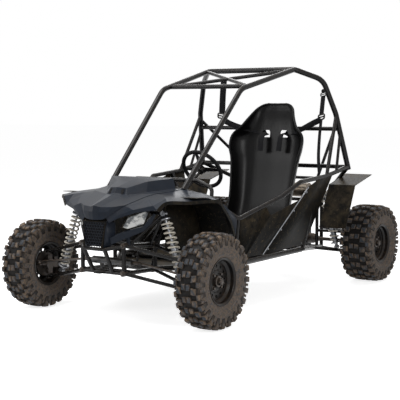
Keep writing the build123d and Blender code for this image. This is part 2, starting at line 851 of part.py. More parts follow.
# Tread of one row: place across the tread and width as shares of the tyre's
# width, length round the tyre in mm, turn of the row as a share of the pitch
tread_lugs = [
    (0.12, 0.16, 42, 0.0),
    (-0.12, 0.16, 42, 0.0),
    (0.385, 0.23, 46, 0.5),
    (-0.385, 0.23, 46, 0.5),
]


def make_tyre(track, width, axle):
    """A knobbly tyre whose beads sit on the rim's seats."""
    middle = track / 2
    outer = tyre_diameter / 2
    tread = outer - lug_height
    half = width / 2
    seat = rim_diameter / 2
    lip = rim_half(width) - rim_flange_width
    right = [(lip - 22, seat), (lip - 4, seat), (lip, seat + rim_flange), (half, outer * 0.73),
             (half * 0.7, tread)]
    section = right + [(-x, radius) for x, radius in reversed(right)] + [(0, tread - 22)]
    carcass = turned([(middle + x, radius) for x, radius in section], (axle, axle_z), ring=True)
    lugs = []
    for row in range(lug_rows):
        for place, share, length, turn in tread_lugs:
            angle = 360 / lug_rows * (row + turn)
            shoulder = abs(place) > 0.25
            top = outer - (5 if shoulder else 0)
            low = outer - (46 if shoulder else 24)
            lug = Pos(place * width, 0, -(top + low) / 2) * Box(share * width, length, top - low)
            lugs.append(Pos(middle, axle, axle_z) * Rot(angle, 0, 0) * lug)
    return carcass.fuse(*lugs)


def make_rear_hub():
    """Hub, brake disc and drive shaft of the left rear wheel."""
    face = wheel_disc_x(rear_track)
    section = [(150, 38), (190, 38), (240, 18), (250, 13), (420, 13), (430, 18), (478, 36), (500, 36),
               (506, 13), (570, 13), (face - 25, 36), (face - 8, 56), (face, 56), (face, 30),
               (face + 30, 26), (face + 34, 18)]
    return turned(section, (rear_axle, axle_z))


rear_upright_x = 540


def make_rear_uprights():
    x = rear_upright_x
    plate = box_between((x - 12, rear_axle - 22, axle_z - 78), (x + 12, rear_axle + 22, axle_z + 62))
    ring = rod((x - 22, rear_axle, axle_z), (x + 22, rear_axle, axle_z), 84)
    bore = rod((x - 40, rear_axle, axle_z), (x + 40, rear_axle, axle_z), 27 + 2 * pin_clearance)
    return both_sides(frame_of(plate, ring) - bore)


def make_rear_arms():
    upper_out = (rear_upright_x - 12, rear_axle, axle_z + 66)
    lower_out = (rear_upright_x - 12, rear_axle, axle_z - 80)
    upper = frame_of(rod(upper_out, (tail_post_foot[0], tail_post_y, 352), arm_tube),
                     rod(upper_out, (tail_low[0], tail_low[1], 352), arm_tube - 1))
    lower_front, lower_rear = tail_rail(840), tail_rail(1180)
    lower = frame_of(rod(lower_out, lower_front, arm_tube), rod(lower_out, lower_rear, arm_tube - 1))
    lower = lower + rod(leg_point(lower_out, lower_front, rear_damper_x),
                        leg_point(lower_out, lower_rear, rear_damper_x), arm_tube - 2)
    return upper, lower


engine_top_z = 540


def make_engine():
    """Crankcase on its feet, and the leaning cylinder with its fins and head."""
    crankcase = box_between((-150, 700, 330), (150, 940, engine_top_z))
    feet = []
    for y in engine_bars_y:
        z = tail_rail(y)[2]
        feet += [box_between((x - 15, max(y - 15, 700), z), (x + 15, min(y + 15, 940), 332)) for x in (-100, 100)]
    lean = Pos(0, 800, engine_top_z - 10) * Rot(-15, 0, 0)
    barrel = lean * Pos(0, 0, 60) * Box(120, 120, 130)
    fins = [lean * Pos(0, 0, 26 + 16 * i) * Box(160, 160, 6) for i in range(7)]
    head = lean * Pos(0, 0, 155) * Box(140, 140, 46)
    return frame_of(crankcase, *feet, barrel, *fins, head)


def make_final_drive():
    """The drive case behind the engine, which the two drive shafts leave."""
    return box_between((-140, 940, 224), (140, 1120, 350))


silencer_low = Vector(-170, 1130, 640)
silencer_high = Vector(110, 1130, 640)


def make_exhaust():
    muffler = rod(silencer_low, silencer_high, 110)
    tip = rod(silencer_low, silencer_low - Vector(45, 0, 0), 40)
    pipe = bent_tube([(0, 850, 690), (0, 960, 730), (0, 1130, 650)], 36, 50)
    hangers = [box_between((x - 3, 1120, 560), (x + 3, tail_high[1], 640)) for x in (-130, 70)]
    return frame_of(muffler, pipe, tip, *hangers)


# The frame, in welding order
floor_rails = make_floor_rails()
main_hoop = make_main_hoop()
roof_rails = coped(make_roof_rails().solids(), main_hoop)
side_rails = coped(make_side_rails().solids(), main_hoop, roof_rails)
nose_rails = coped(make_nose_rails().solids(), floor_rails)
loops_and_struts, trestle = make_nose_tubes()
nose_tubes = coped([*loops_and_struts.solids(), trestle], nose_rails, roof_rails, side_rails)
roof_brace = cut_by(make_roof_brace(), roof_rails, main_hoop)
rear_frame = coped(make_rear_frame().solids(), main_hoop, side_rails, floor_rails)
carriers = [floor_rails, nose_rails, nose_tubes, roof_rails, main_hoop, side_rails, rear_frame]
crossbars = coped(make_crossbars(), *carriers)
braces = coped(make_braces(), crossbars, *carriers)
frame_parts = {
    "floor_rails": floor_rails,
    "nose_rails": nose_rails,
    "nose_tubes": nose_tubes,
    "crossbars": crossbars,
    "roof_rails": roof_rails,
    "main_hoop": main_hoop,
    "roof_brace": roof_brace,
    "side_rails": side_rails,
    "braces": braces,
    "rear_frame": rear_frame,
}
parts.update(frame_parts)
frame_tubes = list(frame_parts.values())

# Panels
parts["floor_pan"] = cut_by(make_floor_pan(), floor_rails, crossbars)
parts["side_panels"] = coped(make_side_panels().solids(), *frame_tubes)
parts["hood"] = largest(cut_by(make_hood(), *frame_tubes))
parts["front_fenders"] = coped(make_front_fenders().solids(), *frame_tubes, parts["hood"])
parts["wheel_liners"] = coped(make_wheel_liners().solids(), *frame_tubes, parts["front_fenders"])
parts["headlamps"] = coped(make_headlamps().solids(), parts["hood"], parts["front_fenders"], *frame_tubes)
parts["lamp_blades"] = coped(make_lamp_blades().solids(), parts["headlamps"], parts["hood"],
                             parts["front_fenders"], *frame_tubes)
parts["grille"] = largest(cut_by(make_grille(), parts["hood"], parts["front_fenders"], nose_tubes, crossbars))
parts["rear_mudguards"] = coped(make_rear_mudguards().solids(), *frame_tubes)

# Seat and controls
parts["seat"] = make_seat()
parts["harness"] = coped(make_harness(), parts["seat"], main_hoop)
parts["seat_mounts"] = coped(make_seat_mounts(parts["seat"]), floor_rails, crossbars, parts["floor_pan"])
parts["dash"] = cut_by(make_dash(), parts["hood"], *frame_tubes)
parts["pedals"] = coped(make_pedals().solids(), *frame_tubes)
parts["steering_wheel"] = make_steering_wheel()
parts["column_bracket"] = cut_by(make_column_bracket(), crossbars, parts["dash"])

# Steering and suspension
parts["rack_housing"] = cut_by(make_rack_housing(), crossbars, nose_rails)
parts["rack"] = make_rack()
parts["front_arms"] = coped(both_sides(*make_front_arms()).solids(), *frame_tubes)
parts["rear_arms"] = coped(both_sides(*make_rear_arms()).solids(), *frame_tubes)
parts["dampers"] = coped(both_sides(*make_dampers()).solids(), *frame_tubes,
                         parts["front_arms"], parts["rear_arms"])
parts["springs"] = both_sides(*make_springs())
parts["knuckle_left"] = make_knuckle()
parts["knuckle_right"] = mirrored(parts["knuckle_left"])
parts["rear_uprights"] = coped(make_rear_uprights().solids(), parts["rear_arms"])

# Engine
parts["engine"] = largest(cut_by(make_engine(), crossbars))
parts["final_drive"] = cut_by(make_final_drive(), crossbars)
parts["exhaust"] = largest(cut_by(make_exhaust(), parts["engine"], *frame_tubes))

wheels = {
    "front": (front_track, front_tyre_width, front_axle, make_front_hub),
    "rear": (rear_track, rear_tyre_width, rear_axle, make_rear_hub),
}
for end, (track, width, axle, make_hub) in wheels.items():
    pieces = {
        "rim": make_rim(track, width, axle),
        "tyre": make_tyre(track, width, axle),
        "hub": make_hub(),
    }
    for name, piece in pieces.items():
        parts[f"{name}_{end}_left"] = piece
        parts[f"{name}_{end}_right"] = mirrored(piece)

os.makedirs("parts", exist_ok=True)
for name, part in parts.items():
    solids = part.solids()
    whole = solids[0] if len(solids) == 1 else Compound(children=list(solids))
    export_step(whole, f"parts/{name}.step")
    print(name, len(solids))
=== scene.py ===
import bpy
import json
import random
from math import cos, pi, radians, sin, tan
from mathutils import Vector, Matrix


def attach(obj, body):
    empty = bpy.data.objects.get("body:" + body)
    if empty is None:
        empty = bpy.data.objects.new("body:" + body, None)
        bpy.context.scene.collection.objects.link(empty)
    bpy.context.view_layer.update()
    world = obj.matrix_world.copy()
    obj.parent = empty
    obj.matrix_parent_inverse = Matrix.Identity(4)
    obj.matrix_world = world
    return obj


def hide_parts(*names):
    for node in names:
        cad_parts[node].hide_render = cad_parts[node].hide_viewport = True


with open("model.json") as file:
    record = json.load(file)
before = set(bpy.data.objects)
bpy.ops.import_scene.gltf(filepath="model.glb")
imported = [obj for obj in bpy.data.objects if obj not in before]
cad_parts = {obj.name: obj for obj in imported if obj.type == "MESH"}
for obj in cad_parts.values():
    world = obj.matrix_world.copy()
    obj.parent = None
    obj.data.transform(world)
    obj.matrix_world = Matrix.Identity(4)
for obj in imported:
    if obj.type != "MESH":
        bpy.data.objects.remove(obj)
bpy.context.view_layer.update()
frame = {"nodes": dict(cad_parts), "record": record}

nodes = frame["nodes"]
record = frame["record"]
slotOf = {part["node"]: part["material_slot"] for part in record["subparts"]}
print("frame loaded,", len(nodes), "parts")


def linearColour(text):
    # sRGB hex to the linear numbers that the shaders want
    values = []
    for i in (1, 3, 5):
        c = int(text[i:i + 2], 16) / 255
        values.append(c / 12.92 if c <= 0.04045 else ((c + 0.055) / 1.055) ** 2.4)
    return (*values, 1.0)


def addNode(tree, kind, settings=None, links=None):
    # one node with its values and its incoming links; a link from a node starts at its first output
    node = tree.nodes.new("ShaderNode" + kind)
    for key, value in (settings or {}).items():
        if isinstance(key, int) or key in node.inputs:
            node.inputs[key].default_value = value
        else:
            setattr(node, key, value)
    for key, source in (links or {}).items():
        tree.links.new(source.outputs[0] if hasattr(source, "outputs") else source, node.inputs[key])
    return node


# patchMm: size of the cloudy change of tone, soft: how gently it changes, grainMm: size of the fine texture,
# rough and dusty: roughness clean and under dust, dirt: the dust's colour, dust: share of the upward faces
# that carries it, splash: how far specks of earth cover what is low down;
# metallic is 0, soft 0.3 and specular 0.2 where they aren't given
finishes = {
    "frame_paint": dict(  # powder-coated steel tube: satin black with a faint orange peel
        name="powderCoatedSteel", base="#0c0c0d", vary="#161618", patchMm=90, grainMm=1.6, bump=0.08,
        rough=0.26, dusty=0.62, dirt="#66553f", dust=0.12, splash=0.4),
    "panel_plastic": dict(  # moulded polypropylene: matt charcoal, fine grain, dust in its skin
        name="mouldedPolypropylene", base="#080808", vary="#111110", patchMm=110, grainMm=1.2, bump=0.16,
        rough=0.46, dusty=0.7, dirt="#75664f", dust=0.24, splash=0.9, specular=0.06),
    "hood_plastic": dict(  # vacuum-formed ABS: blue-black, semi gloss, fine scuffs
        name="vacuumFormedAbs", base="#1a1f27", vary="#262c36", patchMm=180, grainMm=2.0, bump=0.05,
        rough=0.34, dusty=0.6, dirt="#5b5040", dust=0.08, splash=0.25, specular=0.10),
    "lamp_glass": dict(  # polycarbonate lens over a bright reflector: pale cloudy colour that is a painted reflection of the reflector, hard shine
        name="lensPaintedReflection", base="#5c6064", vary="#c9cac8", patchMm=34, grainMm=3.0, bump=0.25,
        rough=0.08, dusty=0.3, dirt="#8d8069", dust=0.30, metallic=0.25, soft=0.06, splash=0.35,
        specular=0.24),
    "seat_plastic": dict(  # rotomoulded polyethylene: deep black with a soft shine
        name="rotomouldedPolyethylene", base="#070708", vary="#0e0e0f", patchMm=120, grainMm=1.4, bump=0.08,
        rough=0.28, dusty=0.55, dirt="#4c443a", dust=0.05, splash=0.1, specular=0.13),
    "webbing": dict(  # woven polyester belt: matt, with the ribs of its weave
        name="wovenPolyester", base="#121214", vary="#1d1e21", patchMm=40, grainMm=1.5, bump=0.35,
        rough=0.75, dusty=0.85, dirt="#4c443a", dust=0.12, splash=0.1, specular=0.08),
    "alloy": dict(  # sand-cast aluminium: grey, with earth in its pores
        name="castAluminium", base="#3e3f40", vary="#57585a", patchMm=30, grainMm=1.0, bump=0.2,
        rough=0.42, dusty=0.7, dirt="#5f5243", dust=0.5, metallic=0.9, splash=0.9),
    "damper_alloy": dict(  # turned aluminium damper body: bright, fine turning marks
        name="turnedAluminium", base="#5c5e62", vary="#9a9ca0", patchMm=40, grainMm=0.8, bump=0.06,
        rough=0.28, dusty=0.6, dirt="#5f5243", dust=0.3, metallic=1.0, splash=0.35),
    "spring_paint": dict(  # cream powder coat on spring wire: warm white with brown dust on top
        name="creamPowderCoat", base="#dad2c2", vary="#efe9dd", patchMm=25, grainMm=1.0, bump=0.06,
        rough=0.36, dusty=0.6, dirt="#7b6a55", dust=0.3, splash=0.5),
    "axle_steel": dict(  # forged steel, oiled and dusty: dark grey turning brown
        name="forgedSteel", base="#3c3b3b", vary="#565250", patchMm=25, grainMm=1.2, bump=0.15,
        rough=0.4, dusty=0.75, dirt="#6b563f", dust=0.6, metallic=0.8, splash=1.0),
    "grip_rubber": dict(  # foam rubber grip: dull black, pitted
        name="foamRubber", base="#121213", vary="#1c1c1e", patchMm=30, grainMm=1.0, bump=0.25,
        rough=0.6, dusty=0.75, dirt="#4a4138", dust=0.10, splash=0.1, specular=0.10),
    "engine_alloy": dict(  # die-cast aluminium: mid grey with dust in the corners
        name="dieCastAluminium", base="#46484a", vary="#606265", patchMm=40, grainMm=1.3, bump=0.2,
        rough=0.45, dusty=0.75, dirt="#554839", dust=0.5, metallic=0.8, splash=0.8),
    "exhaust_steel": dict(  # stainless steel, straw and brown from heat
        name="stainlessSteel", base="#6f6a62", vary="#55483b", patchMm=60, grainMm=1.0, bump=0.06,
        rough=0.32, dusty=0.7, dirt="#5b4d3e", dust=0.3, metallic=1.0, splash=0.4),
    "rim_steel": dict(  # pressed steel rim, black paint: glossy edge, earth in the dish
        name="paintedRimSteel", base="#121213", vary="#1d1c1c", patchMm=50, grainMm=1.5, bump=0.08,
        rough=0.30, dusty=0.75, dirt="#5a4734", dust=0.35, splash=0.5, specular=0.18),
    "tyre_rubber": dict(  # vulcanised rubber: grey-black knobs, brown earth between them and on the walls
        name="vulcanisedRubber", base="#26292d", vary="#50555c", patchMm=22, grainMm=2.2, bump=0.35,
        rough=0.5, dusty=0.92, dirt="#8b7660", dust=0.10, splash=0.0, specular=0.10),
}


def emptyTree(owner):
    owner.use_nodes = True
    owner.node_tree.nodes.clear()
    return owner.node_tree


# Dust and dried earth, the same on every finish: the least upward slope that holds dust, its strength, the
# size of specks and clods, the heights in metres where splashes end and are thickest; and the near-black
# colour of the painted shade in deep gaps
driedEarth = dict(slope=-0.35, strength=1.6, speckMm=26, clodMm=14, splashTop=1.0, splashFull=0.2,
                  paintedShade="#080706")


def makeFinish(look):
    material = bpy.data.materials.new(look["name"])
    tree = emptyTree(material)
    place = addNode(tree, "TexCoord")
    where = place.outputs["Object"]
    # cloudy patterns: scale, detail, roughness, and the range that is stretched to go from 0 to 1
    soft = look.get("soft", 0.3)
    patterns = dict(tone=(1000 / look["patchMm"], 5.0, 0.6, 0.5 - soft, 0.5 + soft),
                    dust=(2200 / look["patchMm"], 6.0, 0.7, 0.38, 0.72),
                    specks=(1000 / driedEarth["speckMm"], 8.0, 0.9, 0.55, 0.64),
                    clods=(1000 / driedEarth["clodMm"], 5.0, 0.75, 0.36, 0.58))
    clouds = {}
    for key, (scale, detail, rough, start, end) in patterns.items():
        noise = addNode(tree, "TexNoise", {"Scale": scale, "Detail": detail, "Roughness": rough},
                        {"Vector": where})
        clouds[key] = addNode(tree, "MapRange", {"From Min": start, "From Max": end}, {"Value": noise})
    grain = addNode(tree, "TexNoise", {"Scale": 1000 / look["grainMm"], "Detail": 2.0}, {"Vector": where})
    base, vary = linearColour(look["base"]), linearColour(look["vary"])
    tone = addNode(tree, "Mix", {"data_type": "RGBA", 6: base, 7: vary}, {0: clouds["tone"]})
    # dust lies on what faces up, in patches
    facing = addNode(tree, "SeparateXYZ", {}, {0: place.outputs["Normal"]})
    upward = addNode(tree, "MapRange", {"From Min": driedEarth["slope"]}, {"Value": facing.outputs["Z"]})
    cover = addNode(tree, "Math", {"operation": "MULTIPLY"}, {0: upward, 1: clouds["dust"]})
    strength = look["dust"] * driedEarth["strength"]
    dust = addNode(tree, "Math", {"operation": "MULTIPLY", 1: strength}, {0: cover})
    # earth where the mesh's own mud value says so and low down on the vehicle, broken up into clods
    splash = addNode(tree, "Attribute", {"attribute_name": "mud"})
    height = addNode(tree, "SeparateXYZ", {}, {0: where})
    top, full = driedEarth["splashTop"], driedEarth["splashFull"]
    low = addNode(tree, "MapRange", {"From Min": top, "From Max": full, "To Max": look["splash"]},
                  {"Value": height.outputs["Z"]})
    speckled = addNode(tree, "Math", {"operation": "MULTIPLY"}, {0: low, 1: clouds["specks"]})
    dusty = addNode(tree, "Math", {"operation": "MAXIMUM"}, {0: dust, 1: speckled})
    earth = addNode(tree, "Math", {"operation": "MULTIPLY"}, {0: splash.outputs["Fac"], 1: clouds["clods"]})
    amount = addNode(tree, "Math", {"operation": "MAXIMUM", "use_clamp": True}, {0: dusty, 1: earth})
    colour = addNode(tree, "Mix", {"data_type": "RGBA", 7: linearColour(look["dirt"])},
                     {0: amount, 6: tone.outputs[2]})
    # painted shade: the mesh's own shade value darkens deep gaps to near black over any dust, as the shadow
    # where no light gets in
    paintedShade = addNode(tree, "Attribute", {"attribute_name": "shade"})
    shadedColour = addNode(tree, "Mix", {"data_type": "RGBA", 7: linearColour(driedEarth["paintedShade"])},
                   {0: paintedShade.outputs["Fac"], 6: colour.outputs[2]})
    rough = addNode(tree, "MapRange", {"To Min": look["rough"], "To Max": look["dusty"]},
                    {"Value": amount})
    relief = addNode(tree, "Bump", {"Strength": look["bump"], "Distance": look["grainMm"] / 1000},
                     {"Height": grain})
    shader = addNode(tree, "BsdfPrincipled",
                     {"Metallic": look.get("metallic", 0.0), "Specular IOR Level": look.get("specular", 0.2)},
                     {"Base Color": shadedColour.outputs[2], "Roughness": rough, "Normal": relief})
    addNode(tree, "OutputMaterial", {}, {"Surface": shader})
    return material


materialOf = {slot: makeFinish(look) for slot, look in finishes.items()}


def giveFinish(part, slot):
    part.data.materials.clear()
    part.data.materials.append(materialOf[slot])


for nodeName, part in nodes.items():
    if part.type == "MESH":
        giveFinish(part, slotOf[nodeName])
print("finishes given to", len(nodes), "parts")


# A shape is a list of points in millimetres and a list of faces
def joined(*shapes):
    points, faces = [], []
    for shapePoints, shapeFaces in shapes:
        start = len(points)
        points += shapePoints
        faces += [tuple(start + i for i in face) for face in shapeFaces]
    return points, faces


def moved(shape, matrix):
    return [matrix @ Vector(p) for p in shape[0]], shape[1]


def bothSides(shape):
    # the shape with its mirror image on the other side of the vehicle
    mirrored = [Vector((-p[0], p[1], p[2])) for p in shape[0]]
    return joined(shape, (mirrored, [face[::-1] for face in shape[1]]))


def along(start, axis):
    # puts a shape's own X axis on a line
    return Matrix.Translation(Vector(start)) @ Vector(axis).to_track_quat("X", "Z").to_matrix().to_4x4()


def polar(x, radius, angle):
    # a point at an angle round the X axis
    return Vector((x, radius * cos(angle), radius * sin(angle)))


def roundOutline(radius, sides=12):
    return [(radius * cos(2 * pi * k / sides), radius * sin(2 * pi * k / sides))
            for k in range(sides)]


def bands(size, count, loop=False):
    # quads between each ring of points and the next one
    faces = []
    for i in range(count if loop else count - 1):
        j = (i + 1) % count
        for k in range(size):
            n = (k + 1) % size
            faces.append((i * size + k, i * size + n, j * size + n, j * size + k))
    return faces


def skinned(points, size, loop=False):
    # rings of points with their bands, and a cap at each end unless it is a loop
    faces = bands(size, len(points) // size, loop)
    if not loop:
        faces += [tuple(range(size))[::-1], tuple(range(len(points) - size, len(points)))]
    return points, faces


def lathed(section, segments, closed=False):
    # turned round the X axis from (x, radius) points
    points = [Vector((x, a, b)) for x, r in section for a, b in roundOutline(r, segments)]
    return skinned(points, segments, closed)


def smoothLine(corners, steps=6):
    # a smooth line through the points
    corners = [Vector(p) for p in corners]
    line = []
    for i in range(len(corners) - 1):
        a, b = corners[max(i - 1, 0)], corners[i]
        c, d = corners[i + 1], corners[min(i + 2, len(corners) - 1)]
        for k in range(steps):
            t = k / steps
            line.append(0.5 * (2 * b + (c - a) * t + (2 * a - 5 * b + 4 * c - d) * t ** 2
                               + (3 * b - a - 3 * c + d) * t ** 3))
    return line + [corners[-1]]


def swept(line, outline, up=(0, 0, 1), loop=False):
    # an outline of (side, height) points carried along a line, with caps unless it is a loop
    line = [Vector(p) for p in line]
    points, count, side = [], len(line), None
    for i, p in enumerate(line):
        before = line[i - 1] if i or loop else p
        after = line[(i + 1) % count] if i < count - 1 or loop else p
        way = (after - before).normalized()
        if side is None:
            side = way.cross(Vector(up)).normalized()
        side = (side - way * side.dot(way)).normalized()
        height = side.cross(way)
        points += [p + side * a + height * b for a, b in outline]
    return skinned(points, len(outline), loop)


def bar(start, end, radius, sides=16):
    return swept([start, end], roundOutline(radius, sides), up=(0.31, 0.2, 0.93))


def plate(outline, thickness, matrix):
    # a flat plate from its outline, its front on the matrix's XY plane
    count = len(outline)
    points = [matrix @ Vector((x, y, 0)) for x, y in outline]
    points += [matrix @ Vector((x, y, -thickness)) for x, y in outline]
    faces = [tuple(range(count)), tuple(range(2 * count - 1, count - 1, -1))]
    faces += [(i, count + i, count + (i + 1) % count, (i + 1) % count) for i in range(count)]
    return points, faces


def block(low, high):
    (a, b, c), (d, e, f) = low, high
    return plate([(a, b), (d, b), (d, e), (a, e)], f - c, Matrix.Translation((0, 0, f)))


def surface(rows):
    # an open net of quads
    points = [Vector(p) for row in rows for p in row]
    width = len(rows[0])
    faces = [(i * width + j, i * width + j + 1, (i + 1) * width + j + 1, (i + 1) * width + j)
             for i in range(len(rows) - 1) for j in range(width - 1)]
    return points, faces


def newObject(name, data):
    thing = bpy.data.objects.new(name, data)
    bpy.context.collection.objects.link(thing)
    return thing


def newMesh(name, shape):
    mesh = bpy.data.meshes.new(name)
    mesh.from_pydata([tuple(Vector(p) * 0.001) for p in shape[0]], [], shape[1])
    mesh.update()
    return mesh


def shadeSmooth(mesh, sharp):
    for polygon in mesh.polygons:
        polygon.use_smooth = True
    mesh.set_sharp_from_angle(angle=radians(sharp))


def roundEdges(piece, width):
    edge = piece.modifiers.new("edges", "BEVEL")
    edge.width, edge.segments = width * 0.001, 2
    edge.limit_method, edge.angle_limit = "ANGLE", radians(32)


def thicken(piece, thickness, offset=0.0):
    skin = piece.modifiers.new("skin", "SOLIDIFY")
    skin.thickness, skin.offset = thickness * 0.001, offset


def makePiece(name, shape, slot, body="chassis", bevel=0.0, sharp=38, layers=None, replaces=None):
    mesh = newMesh(name, shape)
    shadeSmooth(mesh, sharp)
    for layerName, values in (layers or {}).items():
        mesh.attributes.new(layerName, "FLOAT", "POINT").data.foreach_set("value", values)
    mesh.materials.append(materialOf[slot])
    piece = newObject(name, mesh)
    if bevel:
        roundEdges(piece, bevel)
    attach(piece, body)
    if replaces:
        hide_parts(replaces)
    return piece


def ringOf(shape, count, place, turn=0.0):
    # copies of a shape round the X axis
    return [moved(shape, Matrix.Rotation(2 * pi * (i + turn) / count, 4, "X") @ Matrix.Translation(place))
            for i in range(count)]


def hexHead(place, axis, across=17, height=8):
    # a bolt head with its washer, standing on the place and pointing along the axis
    head = lathed([(1, across / 2), (1 + height * 0.8, across / 2), (1 + height, across * 0.42)], 6)
    washer = lathed([(-1, across * 0.68), (1.4, across * 0.68)], 18)
    return moved(joined(head, washer), along(place, axis))


# Wheels: height is the radius of the tyre, rim that of the bead's seat
wheel = dict(track=1310, axles=dict(front=-1060, rear=1060), height=280, widths=dict(front=178, rear=236),
             dishes=dict(front=26, rear=38), rim=127, rows=24, holes=12, holeRadius=9.5, holeCircle=88,
             discThickness=5, nuts=4, nutCircle=52, segments=96, crown=3.2, shoulderDrop=5)
# Dried earth on the tyre and the painted shade that darkens its gaps, each from 0 to 1
tyreEarth = dict(tread=0.3, wall=0.62, ribFoot=0.4, ribEdge=0.8, caked=0.95, cakedShare=0.34)
tyrePaintedShade = dict(tread=0.85, knobEdge=0.1, ribFoot=0.6)
# Tread blocks, a pair in each line: place across and width as shares of the tyre, length in mm,
# turn as a share of a row, and how much lower than the middle the top is, in mm
treadBlocks = [dict(place=side * place, share=share, length=length, turn=turn, lift=lift)
               for place, share, length, turn, lift in (
                   (0.085, 0.135, 36, 0.0, 0),
                   (0.275, 0.165, 40, 0.3, -2),
                   (0.43, 0.125, 34, 0.75, -8))
               for side in (1, -1)]


def tyreShape(width, seed):
    # the tyre's line runs from the bead to the middle of the tread, as (x, radius)
    dice = random.Random(seed)
    half, outer, seat = width / 2, wheel["height"], wheel["rim"]
    lip = width * 0.42 - 5
    wall = [(lip - 18, seat + 1), (lip - 3, seat + 1), (lip, seat + 13), (lip + 4, seat + 19),
            (half * 0.93, seat + 36), (half * 0.935, seat + 38), (half * 0.955, seat + 39),
            (half * 0.955, seat + 43), (half * 0.945, seat + 44), (half * 0.96, seat + 58),
            (half * 0.98, seat + 59), (half * 0.98, seat + 63), (half * 0.965, seat + 64)]
    tread = [(half * 0.965, seat + 84), (half * 0.93, seat + 103), (half * 0.85, seat + 118),
             (half * 0.7, outer - 19), (half * 0.4, outer - 15.5), (0, outer - 14.5)]
    inside = [(0, outer - 28), (half * 0.62, outer - 34), (half * 0.86, outer - 66), (half * 0.86, seat + 52),
              (lip - 12, seat + 20)]
    outside = wall + tread
    line = outside + [(-x, r) for x, r in reversed(outside[:-1])]
    line += [(-x, r) for x, r in reversed(inside)] + inside[1:]
    segments = wheel["segments"]
    carcass = lathed(line, segments, closed=True)
    # between the knobs the rubber gets painted shade, and the walls carry dried earth
    mud, shade = [], []
    for x, r in line:
        between = r > outer - 30
        earth = tyreEarth["tread" if between else "wall"]
        mud += [earth * (0.75 + 0.25 * dice.random()) for k in range(segments)]
        shade += [tyrePaintedShade["tread"] if between else 0.0] * segments
    blocks, blockFaces = [], [(8, 9, 10, 11)] + bands(4, 3)

    def groundRadius(x):
        for (x0, r0), (x1, r1) in zip(tread, tread[1:]):
            if x1 <= abs(x) <= x0:
                return r0 + (r1 - r0) * (x0 - abs(x)) / (x0 - x1)
        return tread[0][1]

    def addBlock(corners, top):
        # from four corners (x, arc, low radius) and the radius of the top: drafted sides, chamfered edge
        centreX = sum(c[0] for c in corners) / 4
        centreS = sum(c[1] for c in corners) / 4
        points, rings = [], [(1.0, None), (0.95, 4.0), (0.78, 0.0)]
        for share, below in rings:
            for x, s, low in corners:
                x, s = centreX + (x - centreX) * share, centreS + (s - centreS) * share
                points.append(polar(x, low if below is None else top(x) - below, s / outer))
        blocks.append((points, blockFaces))
        wear = dice.random()
        # about every third corner of a knob's top is caked with earth
        caked = [tyreEarth["caked"] if dice.random() < tyreEarth["cakedShare"] else 0.0 for k in range(4)]
        mud.extend([tyreEarth["tread"]] * 4 + [0.5 * wear + 0.5] * 4 + caked)
        # painted shade at the knob's foot, and a little on its edge
        shade.extend([tyrePaintedShade["tread"]] * 4 + [tyrePaintedShade["knobEdge"]] * 4 + [0.0] * 4)

    pitch = 2 * pi * outer / wheel["rows"]
    for row in range(wheel["rows"]):
        for b in treadBlocks:
            x, w = b["place"] * width, b["share"] * width / 2
            s, h = (row + b["turn"]) * pitch + dice.uniform(-1.5, 1.5), b["length"] / 2
            skew = dice.uniform(-2.0, 2.0)
            corners = [(cx, cs, groundRadius(cx) - 4) for cx, cs in
                       ((x - w, s - h + skew), (x + w, s - h - skew),
                        (x + w, s + h - skew), (x - w, s + h + skew))]

            def crown(at, lift=b["lift"]):
                # radius of the knobs' tops across the tyre
                out = abs(at) / half
                drop = lift * min(1, max(0, out - 0.5) * 2) ** 0.8
                edge = wheel["shoulderDrop"] * max(0, out - 0.8)
                return outer + drop - 0.2 - wheel["crown"] * out ** 2 - edge

            addBlock(corners, crown)
        # short ribs on the shoulder
        for side in (-1, 1):
            for turn in (0.25, 0.75):
                s = (row + turn) * pitch
                points = []
                for share, out in ((1.0, 0.90), (0.9, 0.985), (0.7, 0.995)):
                    for r, arc in ((-9, -7), (9, -9), (9, 9), (-9, 7)):
                        points.append(polar(side * half * out, outer - 34 + r * share,
                                            (s + arc * share) / outer))
                blocks.append((points, blockFaces if side < 0 else [face[::-1] for face in blockFaces]))
                ribFoot = [tyreEarth["ribFoot"]] * 4
                mud.extend(ribFoot + [tyreEarth["ribEdge"]] * 4 + ribFoot)
                # painted shade at the rib's foot
                shade.extend([tyrePaintedShade["ribFoot"]] * 4 + [0.0] * 8)
    return joined(carcass, *blocks), dict(mud=mud, shade=shade)


